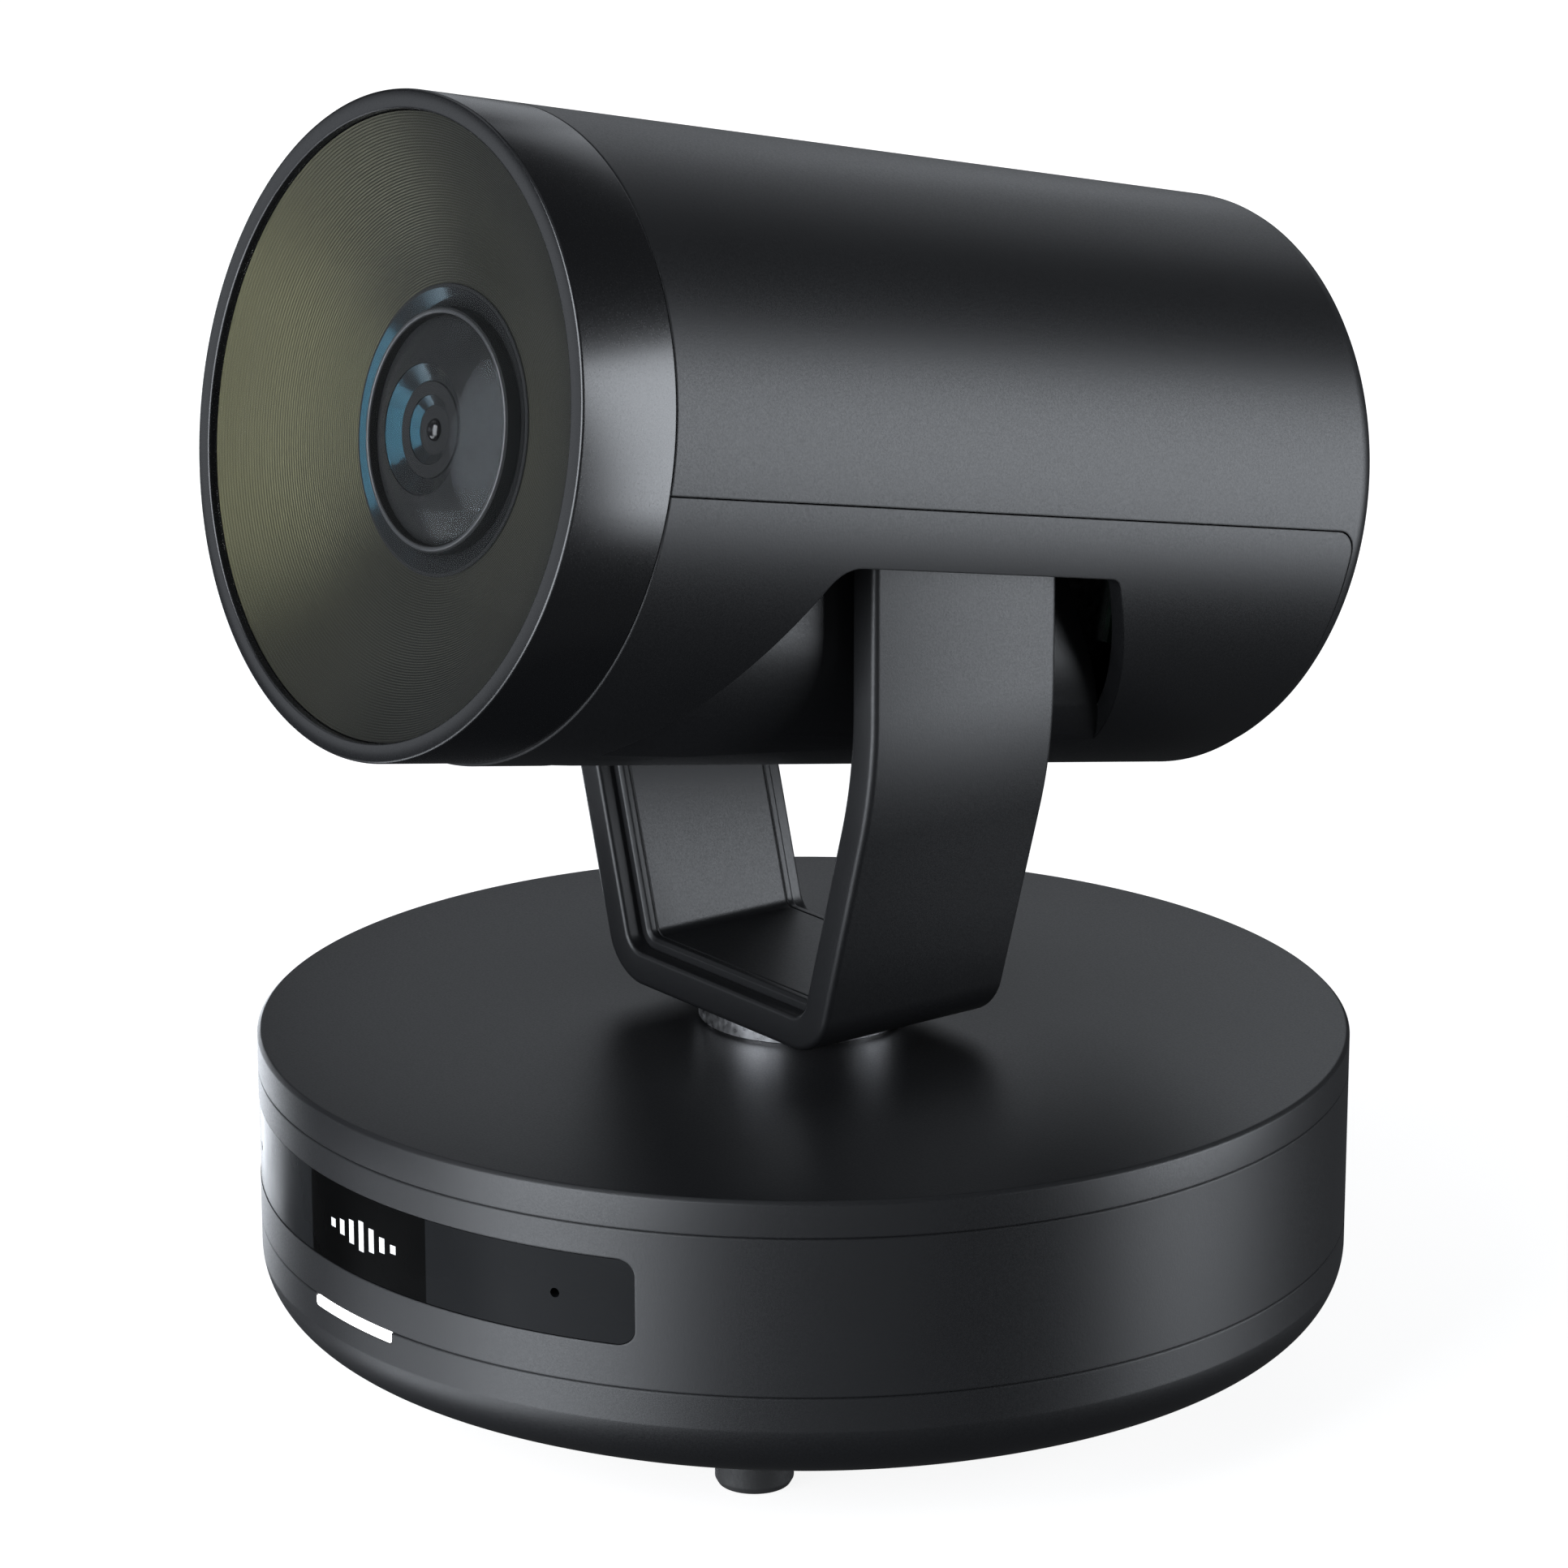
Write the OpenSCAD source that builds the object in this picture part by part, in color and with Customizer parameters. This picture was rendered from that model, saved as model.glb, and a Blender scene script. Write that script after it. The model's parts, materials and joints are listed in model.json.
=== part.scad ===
// Desktop pan-tilt-zoom camera: a drum base, a U-shaped yoke that pans on it, and a
// tubular head that tilts between the yoke's arms. Millimetres, +Z up, lens towards -Y.
// The origin is under the middle of the base, on the surface that the feet stand on.

/* [Base] */
// Radius of the drum base
base_r = 75.4; // [74:0.1:78]
// Height of the lid's top face above the surface
lid_top = 49.2; // [48.5:0.1:52]
// Height of the lid's outer rim
lid_h = 5; // [4:0.1:6]
// Height of the joint between the wall ring and the bottom shell
bottom_seam = 22.6; // [22:0.1:24]
// Wall thickness of the base shells
base_wall = 2.4; // [2:0.1:2.6]
// Height of the flat underside, which the feet stand below
belly_z = 3.1; // [2.5:0.1:3.5]
// Radius of the small arc where the wall turns under
turn_r = 9; // [7:0.5:10]
// Angle that the small arc turns through
turn_deg = 64; // [60:1:68]
// Radius of the long arc across the underside
sweep_r = 75; // [70:1:80]

/* [Feet and tripod thread] */
// Distance of the feet from the middle
foot_at = 49; // [46:0.5:52]
// Foot radius
foot_r = 5.25; // [4.5:0.25:6]
// Radius of the tripod thread, modelled as a plain bore
thread_r = 3.175; // [3.175:0.1:4.8]
// Depth of the tripod thread
thread_depth = 9; // [7:0.5:10]

/* [Front window] */
// Half of the angle that the window spans
window_deg = 36; // [30:1:40]
// Lower edge of the window
window_z0 = 28.4; // [27.5:0.1:30]
// Upper edge of the window
window_z1 = 40.1; // [38:0.1:42]
// Angle of each microphone hole from the front
mic_deg = 27.6; // [24:0.1:30]
// Half of the angle that the status light spans
light_deg = 7; // [5:1:9]
// Height of the status light bar
light_h = 1.6; // [1.2:0.1:2]

/* [Yoke] */
// Half of the yoke's width over its upright arms
arm_x = 35.2; // [34.8:0.1:35.4]
// Thickness of the yoke band
arm_t = 4.8; // [4.2:0.1:5]
// Half of the arms' depth from front to back
arm_half = 15.4; // [14.5:0.1:15.6]
// Height of the yoke's underside above the lid
yoke_lift = 2.5; // [2.3:0.1:3]
// Lean of the lower part of the arms
arm_lean = 16.3; // [14:0.1:18]
// Radius of the bend between the leaning and the upright parts
arm_bend_r = 65; // [50:1:80]
// Height above the lid at which the bend ends
arm_bend_top = 52.7; // [50:0.1:56]
// Outer corner radius at the foot of the arms
arm_corner_r = 8; // [6:0.5:9]

/* [Head] */
// Height of the tilt axis above the lid
pivot_lift = 79.4; // [79:0.1:82]
// Tilt at rest, lens up
tilt_rest = 10.7; // [0:0.1:20]
// Half of the head's length
head_half = 68.9; // [68:0.1:70]
// Radius of the head at its front rim
head_r = 42.94; // [42.5:0.1:43.5]
// Radius lost per millimetre from front to rear
head_taper = 0.021; // [0.01:0.001:0.025]
// Length of the front ring
ring_len = 14.7; // [12:0.1:16]
// Wall thickness of the head shells
head_wall = 2.2; // [1.8:0.1:2.4]
// Radius of the front glass
glass_r = 40.3; // [39.5:0.1:40.4]
// Radius of the rear edge
rear_round = 3.5; // [2:0.5:4]

/* [Head slots] */
// Distance from the tilt axis up to which the slots reach, measured down
slot_top = 8.6; // [8:0.1:10]
// Distance of the slot's slanting edges from the tilt axis
slot_edge = 15.9; // [15.9:0.1:17]
// Slant of those edges, just over the tilt limit
slot_slant = 31; // [31:0.5:34]
// Half width of the body between the slots
core_x = 28.7; // [28:0.1:28.9]
// Corner radius of the body between the slots
core_r = 22; // [16:0.5:24]

/* [Lens] */
// Radius of the ring round the lens
lens_ring_r = 18.9; // [17:0.1:20]
// Radius of the front lens
lens_r = 14.9; // [13:0.1:15.5]
// Depth of that ring behind the front rim
lens_depth = 9.5; // [9:0.1:11]
// Radius of curvature of the front lens
lens_curve = 26; // [22:1:40]

/* [Drives] */
// Teeth on the pan gear
pan_teeth = 48; // [48]
// Teeth on the pan motor's pinion
pan_pinion_teeth = 12; // [12]
// Module of the pan gears
pan_module = 1.25; // [1.25]
// Teeth on the tilt gear
tilt_teeth = 40; // [40]
// Teeth on the tilt motor's pinion
tilt_pinion_teeth = 10; // [10]
// Module of the tilt gears
tilt_module = 0.9; // [0.9]

/* [Hidden] */
$fn = 96;

charcoal = [0.17, 0.175, 0.185];
black = [0.04, 0.04, 0.045];
steel = [0.7, 0.7, 0.72];
brass = [0.72, 0.58, 0.3];
bronze = [0.6, 0.45, 0.25];
board_green = [0.05, 0.28, 0.15];
rubber_black = [0.06, 0.06, 0.06];
gear_white = [0.85, 0.85, 0.82];

pivot_z = lid_top + pivot_lift;
lid_bottom = lid_top - lid_h;
lid_plate = 2.2;
lid_hole_r = 13.5;
base_inner_r = base_r - base_wall;
lip_r = 71;
turn_x = base_r - turn_r;
// The long arc meets the flat underside at belly_r; the small arc starts at turn_z.
belly_r = turn_x + (turn_r - sweep_r) * cos(turn_deg);
turn_z = belly_z + sweep_r * (1 - sin(turn_deg)) + turn_r * sin(turn_deg);
post_at = 62;
post_r = 4.5;
post_z = 9.3;
screw_head_z = 11;
screw_head_h = 2;
screw_head_r = 2.9;
screw_r = 1.5;
screw_play = 0.2;
foot_recess = 1.8;
insert_wall = 1.8;
board_z = 9.4;
board_t = 1.6;
chip_h = 1.8;

// Parts behind the window: how far out they reach, and their heights.
display_deg = 2.3;
display_half = 12.8;
display_out = 71.9;
display_margin = 0.8;
light_board_half = 7;
light_board_out = 70.2;
light_board_t = 1.2;
light_board_z = 17;
light_board_h = 7;
sensor_out = 73.2;
sensor_z0 = 31;
sensor_z1 = 37.5;
mic_half = 3;
mic_t = 2;
receiver_deg = -18;
receiver_half = 3.5;
receiver_t = 2.5;

// Spindle stack, from the shaft's lower end up to the yoke.
shaft_r = 11;
shaft_z = 20;
neck_r = 13;
flange_r = 14.5;
flange_gap = 0.4;
wire_r = 6;
plate_z = 33;
plate_t = 2.5;
plate_r = 40;
bush_wall = 2.5;
running_gap = 0.05;
boss_r = 17;
boss_z = 23.5;
clip_r = 14.5;
clip_z = 21;
clip_t = 1.9;
washer_t = 0.5;
shoulder_z = plate_z + plate_t + washer_t;
pan_gear_z = 38;
pan_gear_h = 5;
pan_centres = pan_module * (pan_teeth + pan_pinion_teeth) / 2;
pan_motor_r = 17.5;
pan_motor_h = 19;
motor_shaft_r = 2.5;

// Screws that hold the yoke on the spindle's flange.
yoke_screw_at = 9.5;
yoke_screw_r = 2.7;
yoke_screw_h = 1.8;
yoke_screw_len = 8;
yoke_screw_sunk = 2;

// Lower end of the yoke's bend, and the centre of its foot corner.
lean_end = [arm_x - arm_bend_r * (1 - cos(arm_lean)), lid_top + arm_bend_top - arm_bend_r * sin(arm_lean)];
corner_z = lid_top + yoke_lift + arm_corner_r;
corner_x = (lean_end[0] * cos(arm_lean) - lean_end[1] * sin(arm_lean) - arm_corner_r
    + corner_z * sin(arm_lean)) / cos(arm_lean);

// Rear connectors, on one board behind a recessed panel.
io_half = 36.5;
io_z0 = 25.4;
io_z1 = 41.6;
io_face = 64.5;
io_wall = 1.6;
io_plate_t = 2;
io_rear = 42;
socket_z = io_z0 + board_t;
socket_front = io_face + 0.5;
dc_x = -29;
audio_x = -19;
hdmi_x = -5.5;
usb_x = 11;
lan_x = 26;
dc_pin_r = 1.05;

// Head layout along its own axis, measured from the tilt axis (rear positive).
ring_back = ring_len - head_half;
glass_front = 0.5 - head_half;
glass_t = 1.8;
glass_back = glass_front + glass_t;
split_z = -0.5;
insert_end = 65.4;
insert_corner = 3;
insert_drop = 0.4;
cap_t = 2.4;
lens_ring_y = lens_depth - head_half;
lens_edge_y = lens_ring_y - 1;
lens_seat = 1.5;
inner_lens_r = 7.6;
inner_curve = 12;
inner_lens_y = lens_edge_y + 7;
cell_y = lens_edge_y + 5;
cell_t = 3;
iris_y = lens_edge_y + 11;
iris_r = 2.2;
iris_t = 0.8;
block_half = 20;
block_front = -40;
block_back = 6;
block_bore_r = 11;
block_bore = 30;
sensor_half = 17;
video_half = 24;
video_low = -20;
frame_x = 21;
frame_t = 2;
frame_floor = -22;
frame_front = -36;
frame_back = 36;
trunnion_r = 4;
trunnion_end = 21.4;
bush_r = 6.5;
tilt_gear_x = 23.6;
tilt_gear_h = 2.6;
tilt_centres = tilt_module * (tilt_teeth + tilt_pinion_teeth) / 2;
tilt_motor_r = 10;
tilt_motor_len = 16;
tilt_shaft_r = 1.5;
head_screw_x = 12;
head_screw_y = 33;
head_screw_z = -38;
head_screw_r = 2.8;
head_screw_h = 2;

pressure = 25;

// ---------- outlines and helpers ----------

function head_radius(y) = head_r - head_taper * (y + head_half);

// Points of an arc about (cx, cy), from angle a0 to a1 in n steps.
function arc(cx, cy, r, a0, a1, n) =
    [for (i = [0:n]) [cx + r * cos(a0 + (a1 - a0) * i / n), cy + r * sin(a0 + (a1 - a0) * i / n)]];

function involute(a) = tan(a) * 180 / PI - a;

// Half of a tooth's angle at radius r, for a gear with the given teeth and pitch radius.
function tooth_half(r, teeth, pitch_r, play) =
    let (base = pitch_r * cos(pressure), a = r > base ? acos(base / r) : 0)
    90 / teeth - play / pitch_r * 90 / PI + involute(pressure) - involute(a);

module gear_outline(teeth, size, play = 0.16) {
    pitch_r = teeth * size / 2;
    root_r = pitch_r - 1.15 * size;
    tip_r = pitch_r + 0.8 * size;
    flank = [for (k = [0:3]) root_r + (tip_r - root_r) * k / 3];
    polygon([
        for (t = [0:teeth - 1], side = [-1, 1], k = [0:3])
        let (r = flank[side < 0 ? k : 3 - k], h = tooth_half(r, teeth, pitch_r, play))
        [r * cos(360 * t / teeth + side * h), r * sin(360 * t / teeth + side * h)]
    ]);
}

// Turns a shape made along +Z so that it lies along +Y (radial x stays x).
module along_y() { rotate([-90, 0, 0]) children(); }

// Turns a shape made along +Z so that it lies along +X.
module along_x() { rotate([0, 90, 0]) children(); }

// Puts a shape drawn in the level head's frame, about the tilt axis, at its resting tilt.
module in_head() { translate([0, 0, pivot_z]) rotate([-tilt_rest, 0, 0]) children(); }

module tube_between(r_out, r_in, z0, z1) {
    translate([0, 0, z0]) difference() {
        cylinder(r = r_out, h = z1 - z0);
        translate([0, 0, -1]) cylinder(r = r_in, h = z1 - z0 + 2);
    }
}

// A box given by its lowest and highest corners.
module block(low, high) { translate(low) cube(high - low); }

// A piece of a ring at the front, as wide as half_deg to each side, with rounded corners.
module curved_plate(half_deg, z0, z1, r_in, r_out, corner) {
    half = base_r * sin(half_deg);
    intersection() {
        tube_between(r_out, r_in, z0, z1, $fn = 180);
        rotate([90, 0, 0]) linear_extrude(base_r + 5) {
            translate([corner - half, z0]) square([2 * (half - corner), z1 - z0]);
            translate([-half, z0 + corner]) square([2 * half, z1 - z0 - 2 * corner]);
            for (x = [corner - half, half - corner], z = [z0 + corner, z1 - corner])
                translate([x, z]) circle(r = corner, $fn = 32);
        }
    }
}

// A piece of a ring at the front with square ends.
module front_arc(half_deg, z0, z1, r_in, r_out) {
    half = base_r * sin(half_deg);
    intersection() {
        tube_between(r_out, r_in, z0, z1, $fn = 180);
        block([-half, -base_r - 5, z0], [half, 0, z1]);
    }
}

// Four copies at a distance from the middle, on the diagonals or on the axes.
module at_diagonals(r) { for (a = [45:90:315]) rotate([0, 0, a]) translate([r, 0, 0]) children(); }
module at_quarters(r) { for (a = [0:90:270]) rotate([0, 0, a]) translate([r, 0, 0]) children(); }

// ---------- base ----------

module base_bottom_shell() {
    bore = thread_r + insert_wall;
    tripod_boss_r = 10;
    board_post_at = 40;
    board_post_r = 3;
    board_post_z = 4.5;
    io_post_x = 30;
    io_post_y = 46;
    io_post_z = 6.8;
    tunnel_r = 3.1;
    lip_h = 2.4;
    inner_turn = turn_r - base_wall;
    inner_start = -acos((lip_r - turn_x) / inner_turn);
    lip_top = bottom_seam + lip_h;
    lip_out = base_inner_r - 0.2;
    light_z = bottom_seam - light_h;
    color(charcoal) difference() {
        union() {
            rotate_extrude($fn = 180) polygon(concat(
                [[0, belly_z]],
                arc(belly_r, belly_z + sweep_r, sweep_r, -90, -turn_deg - 1, 9),
                arc(turn_x, turn_z, turn_r, -turn_deg, 0, 10),
                [[base_r, bottom_seam], [lip_out, bottom_seam], [lip_out, lip_top], [lip_r, lip_top]],
                arc(turn_x, turn_z, inner_turn, inner_start, -turn_deg, 3),
                arc(belly_r, belly_z + sweep_r, sweep_r - base_wall, -turn_deg - 1, -90, 9),
                [[0, belly_z + base_wall]]
            ));
            translate([0, 0, belly_z + 1]) cylinder(r = tripod_boss_r, h = thread_depth + 1);
            at_diagonals(post_at) translate([0, 0, post_z]) cylinder(r = post_r, h = plate_z - post_z);
            at_quarters(board_post_at) translate([0, 0, board_post_z])
                cylinder(r = board_post_r, h = board_z - board_post_z);
            for (x = [-io_post_x, io_post_x]) translate([x, io_post_y, io_post_z])
                cylinder(r = board_post_r, h = io_z0 - io_post_z);
        }
        translate([0, 0, -1]) cylinder(r = bore, h = belly_z + thread_depth + 1);
        at_diagonals(post_at) {
            cylinder(r = tunnel_r, h = screw_head_z + screw_head_h);
            cylinder(r = screw_r + screw_play, h = plate_z + 1);
        }
        at_diagonals(foot_at) cylinder(r = foot_r, h = 3 + foot_recess);
        front_arc(light_deg, light_z, lip_top + 1, lip_r - 3, base_r + 1);
    }
}

module base_wall_ring() {
    color(charcoal) difference() {
        tube_between(base_r, base_inner_r, bottom_seam, lid_bottom);
        curved_plate(window_deg, window_z0, window_z1, base_inner_r - 1, base_r + 1, 2.1);
        block([-io_half, 50, io_z0], [io_half, 80, io_z1]);
    }
}

module base_lid() {
    chamfer = 0.5;
    color(charcoal) rotate_extrude($fn = 180) polygon([
        [lid_hole_r, lid_top - lid_plate], [lip_r, lid_top - lid_plate],
        [lip_r, lid_bottom - 2], [base_inner_r - 0.1, lid_bottom - 2],
        [base_inner_r - 0.1, lid_bottom], [base_r, lid_bottom],
        [base_r, lid_top - chamfer], [base_r - chamfer, lid_top], [lid_hole_r, lid_top]
    ]);
}

module front_window() {
    mid_z = (window_z0 + window_z1) / 2;
    color(black) difference() {
        curved_plate(window_deg - 0.1, window_z0 + 0.1, window_z1 - 0.1, base_r - 2.1, base_r - 0.1, 2);
        for (side = [-1, 1])
            rotate([0, 0, side * mic_deg]) translate([0, 0, mid_z]) rotate([90, 0, 0])
                cylinder(r = 0.65, h = base_r + 5, $fn = 24);
    }
}

module display_panel() {
    color([0.02, 0.02, 0.03]) rotate([0, 0, display_deg]) block(
        [-display_half, -display_out, window_z0 + display_margin],
        [display_half, board_t - display_out, window_z1 - display_margin]
    );
}

module status_light() {
    color("white")
        front_arc(light_deg - 0.1, bottom_seam - light_h, bottom_seam, lip_r + 0.1, base_r);
}

module status_light_board() {
    color(board_green) block(
        [-light_board_half, -light_board_out, light_board_z],
        [light_board_half, light_board_t - light_board_out, light_board_z + light_board_h]
    );
}

// A small sensor behind the window, turned away from the front.
module sensor_body(deg, half, thick) {
    rotate([0, 0, deg]) block([-half, -sensor_out, sensor_z0], [half, thick - sensor_out, sensor_z1]);
}

module microphones() {
    color(steel) for (side = [-1, 1]) sensor_body(side * mic_deg, mic_half, mic_t);
}

module remote_receiver() {
    color(black) sensor_body(receiver_deg, receiver_half, receiver_t);
}

module rubber_feet() {
    top = 3 + foot_recess;
    edge = 0.8;
    color(rubber_black) at_diagonals(foot_at) {
        cylinder(r1 = foot_r - 0.6, r2 = foot_r, h = edge);
        translate([0, 0, edge]) cylinder(r = foot_r, h = top - edge);
    }
}

module tripod_insert() {
    color(brass) tube_between(thread_r + insert_wall, thread_r, belly_z, belly_z + thread_depth);
}

module base_screws() {
    shank_z = screw_head_z + screw_head_h;
    color(steel) at_diagonals(post_at) {
        translate([0, 0, screw_head_z]) cylinder(r = screw_head_r, h = screw_head_h);
        translate([0, 0, shank_z]) cylinder(r = screw_r, h = plate_z + plate_t - shank_z);
    }
}

module chassis_plate() {
    bush_out = shaft_r + running_gap + bush_wall;
    arm_w = 7;
    arm_start = 30;
    pad_half = 14;
    pad_end = 52;
    pad_len = 40;
    motor_hole_r = 4;
    color(steel) {
        translate([0, 0, plate_z]) linear_extrude(plate_t) difference() {
            union() {
                circle(r = plate_r);
                translate([-pad_half, -pad_end]) square([2 * pad_half, pad_len]);
                at_diagonals(post_at) circle(r = post_r);
                at_diagonals(arm_start) translate([0, -arm_w / 2]) square([post_at - arm_start, arm_w]);
            }
            circle(r = bush_out);
            translate([0, -pan_centres]) circle(r = motor_hole_r);
            at_diagonals(post_at) circle(r = screw_r);
        }
        tube_between(boss_r, bush_out, boss_z, plate_z);
    }
}

module pan_bush() {
    bush_in = shaft_r + running_gap;
    color(bronze) tube_between(bush_in + bush_wall, bush_in, boss_z, plate_z + plate_t);
}

module thrust_washer() {
    color(bronze)
        tube_between(neck_r, shaft_r + running_gap, plate_z + plate_t, shoulder_z - 0.02);
}

module pan_motor() {
    color(steel) translate([0, -pan_centres, plate_z - pan_motor_h]) difference() {
        cylinder(r = pan_motor_r, h = pan_motor_h);
        translate([0, 0, 1.5]) cylinder(r = motor_shaft_r + running_gap, h = pan_motor_h);
    }
}

module pan_motor_shaft() {
    low = plate_z - pan_motor_h + 2;
    color(steel) translate([0, -pan_centres, low])
        cylinder(r = motor_shaft_r, h = pan_gear_z + pan_gear_h + 0.5 - low);
}

module pan_pinion() {
    color(gear_white) translate([0, -pan_centres, pan_gear_z]) rotate([0, 0, 90])
        linear_extrude(pan_gear_h) difference() {
            gear_outline(pan_pinion_teeth, pan_module);
            circle(r = motor_shaft_r);
        }
}

module main_board() {
    top = board_z + board_t;
    outer_r = 50;
    hole_r = 12;
    processor = 20;
    memory = 14;
    color(board_green) {
        tube_between(outer_r, hole_r, board_z, top);
        translate([18, -8, top]) cube([processor, processor, chip_h]);
        translate([-34, -6, top]) cube([memory, memory, chip_h]);
    }
}

module io_board() {
    color(board_green) block(
        [1.5 - io_half, io_rear, io_z0], [io_half - 1.5, io_face - io_plate_t - 0.1, socket_z]
    );
}

// The outside of a rear connector, standing on its board and reaching through the panel.
module socket_body(x, w, h) {
    block([x - w / 2, io_rear + 2, socket_z], [x + w / 2, socket_front, socket_z + h]);
}

module dc_body() { socket_body(dc_x, w = 9, h = 11); }
module audio_body() { socket_body(audio_x, w = 7, h = 7); }
module hdmi_body() { socket_body(hdmi_x, w = 15, h = 6.4); }
module usb_body() { socket_body(usb_x, w = 12, h = 11.4); }
module lan_body() { socket_body(lan_x, w = 16, h = 12.4); }

module io_panel() {
    color(black) difference() {
        intersection() {
            cylinder(r = base_r - 0.05, h = lid_top, $fn = 180);
            block([-io_half, io_face - io_plate_t, io_z0], [io_half, 80, io_z1]);
        }
        block([-io_half + io_wall, io_face, socket_z], [io_half - io_wall, 90, io_z1 - io_wall]);
        dc_body();
        audio_body();
        hdmi_body();
        usb_body();
        lan_body();
    }
}

// A round hole along Y into a connector's mouth.
module socket_bore(x, z, r, depth) {
    translate([x, socket_front - depth, z]) along_y() cylinder(r = r, h = depth + 1);
}

// A square hole into a connector's mouth, and the tongue that stands in it.
module mouth(x, z, w, h, depth) {
    block([x - w / 2, socket_front - depth, z - h / 2], [x + w / 2, socket_front + 1, z + h / 2]);
}

module tongue(x, z, w, h, depth) {
    block([x - w / 2, socket_front - depth - 0.5, z - h / 2], [x + w / 2, socket_front - 1.5, z + h / 2]);
}

module dc_inlet() {
    z = socket_z + 5.5;
    depth = 10;
    color(black) difference() {
        dc_body();
        socket_bore(dc_x, z, r = 3.15, depth = depth);
    }
    color(steel) translate([dc_x, socket_front - depth, z]) along_y() cylinder(r = dc_pin_r, h = depth - 1);
}

module audio_socket() {
    color(black) difference() {
        audio_body();
        socket_bore(audio_x, socket_z + 3.5, r = 1.8, depth = 14);
    }
}

module hdmi_socket() {
    z = socket_z + 3.2;
    depth = 11;
    color(steel) difference() {
        hdmi_body();
        mouth(hdmi_x, z, w = 13.8, h = 4.4, depth = depth);
    }
    color(black) tongue(hdmi_x, z, w = 10.8, h = 1, depth = depth);
}

module usb_socket() {
    z = socket_z + 5.7;
    depth = 12;
    color(steel) difference() {
        usb_body();
        mouth(usb_x, z, w = 8.8, h = 9.2, depth = depth);
    }
    color("royalblue") tongue(usb_x, z, w = 5.6, h = 3.6, depth = depth);
}

module lan_socket() {
    color(steel) difference() {
        lan_body();
        mouth(lan_x, socket_z + 6, w = 11.8, h = 8, depth = 13);
    }
}

// ---------- yoke ----------

// One side of the yoke's U, from the top down to the middle, at a depth below its outer face.
function yoke_path(depth) = concat(
    [[arm_x - depth, pivot_z + 20]],
    arc(arm_x - arm_bend_r, lid_top + arm_bend_top, arm_bend_r - depth, 0, -arm_lean, 6),
    arc(corner_x, corner_z, arm_corner_r - depth, -arm_lean, -90, 8)
);

// The U between two depths, extruded from front to back.
module yoke_band(depth0, depth1, half) {
    outer = yoke_path(depth0);
    inner = yoke_path(depth1);
    last = len(outer) - 1;
    translate([0, half, 0]) rotate([90, 0, 0]) linear_extrude(2 * half) polygon(concat(
        outer,
        [for (k = [last:-1:0]) [-outer[k][0], outer[k][1]]],
        [for (k = [0:last]) [-inner[k][0], inner[k][1]]],
        [for (k = [last:-1:0]) inner[k]]
    ));
}

module yoke() {
    foot_z = lid_top + yoke_lift;
    sunk_z = foot_z + arm_t - yoke_screw_sunk;
    color(charcoal) difference() {
        intersection() {
            yoke_band(0, arm_t, arm_half);
            union() {
                block([-50, -arm_half, 0], [50, arm_half, pivot_z]);
                translate([-50, 0, pivot_z]) along_x() cylinder(r = arm_half, h = 100);
            }
        }
        translate([-50, 0, pivot_z]) along_x() cylinder(r = trunnion_r, h = 100);
        translate([0, 0, foot_z - 1]) cylinder(r = wire_r, h = 10);
        at_diagonals(yoke_screw_at) {
            translate([0, 0, foot_z - 1]) cylinder(r = screw_r + screw_play, h = 10);
            translate([0, 0, sunk_z]) cylinder(r = yoke_screw_r + screw_play, h = 10);
        }
    }
}

module yoke_inner_cover() {
    cover_t = 1.6;
    cover_half = 12.8;
    cover_top = lid_top + 35;
    color(charcoal) intersection() {
        yoke_band(arm_t, arm_t + cover_t, cover_half);
        block([-50, -50, 0], [50, 50, cover_top]);
    }
}

module yoke_screws() {
    head_z = lid_top + yoke_lift + arm_t - yoke_screw_sunk;
    color(steel) at_diagonals(yoke_screw_at) {
        translate([0, 0, head_z]) cylinder(r = yoke_screw_r, h = yoke_screw_h);
        translate([0, 0, head_z - yoke_screw_len]) cylinder(r = screw_r, h = yoke_screw_len);
    }
}

module pan_spindle() {
    flange_z = lid_top + flange_gap;
    top = lid_top + yoke_lift;
    color(steel) difference() {
        union() {
            translate([0, 0, shaft_z]) cylinder(r = shaft_r, h = shoulder_z - shaft_z);
            translate([0, 0, shoulder_z]) cylinder(r = neck_r, h = flange_z - shoulder_z);
            translate([0, 0, flange_z]) cylinder(r = flange_r, h = top - flange_z);
        }
        translate([0, 0, shaft_z - 1]) cylinder(r = wire_r, h = 40);
        at_diagonals(yoke_screw_at) translate([0, 0, top - 6]) cylinder(r = screw_r, h = 8);
    }
}

module pan_gear() {
    color(gear_white) translate([0, 0, pan_gear_z]) rotate([0, 0, 90 + 180 / pan_teeth])
        linear_extrude(pan_gear_h) difference() {
            gear_outline(pan_teeth, pan_module);
            circle(r = neck_r);
        }
}

module spindle_clip() {
    color(steel) tube_between(clip_r, shaft_r, clip_z, clip_z + clip_t);
}

module trunnions() {
    reach = arm_x - 0.2 - trunnion_end;
    color(steel) for (x = [trunnion_end, -trunnion_end - reach])
        translate([x, 0, pivot_z]) along_x() cylinder(r = trunnion_r, h = reach);
}

module tilt_gear() {
    color(gear_white) in_head() translate([tilt_gear_x, 0, 0])
        rotate([90, 0, 90]) rotate([0, 0, 180 / tilt_teeth])
            linear_extrude(tilt_gear_h) difference() {
                gear_outline(tilt_teeth, tilt_module);
                circle(r = trunnion_r);
            }
}

// ---------- head ----------

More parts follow.
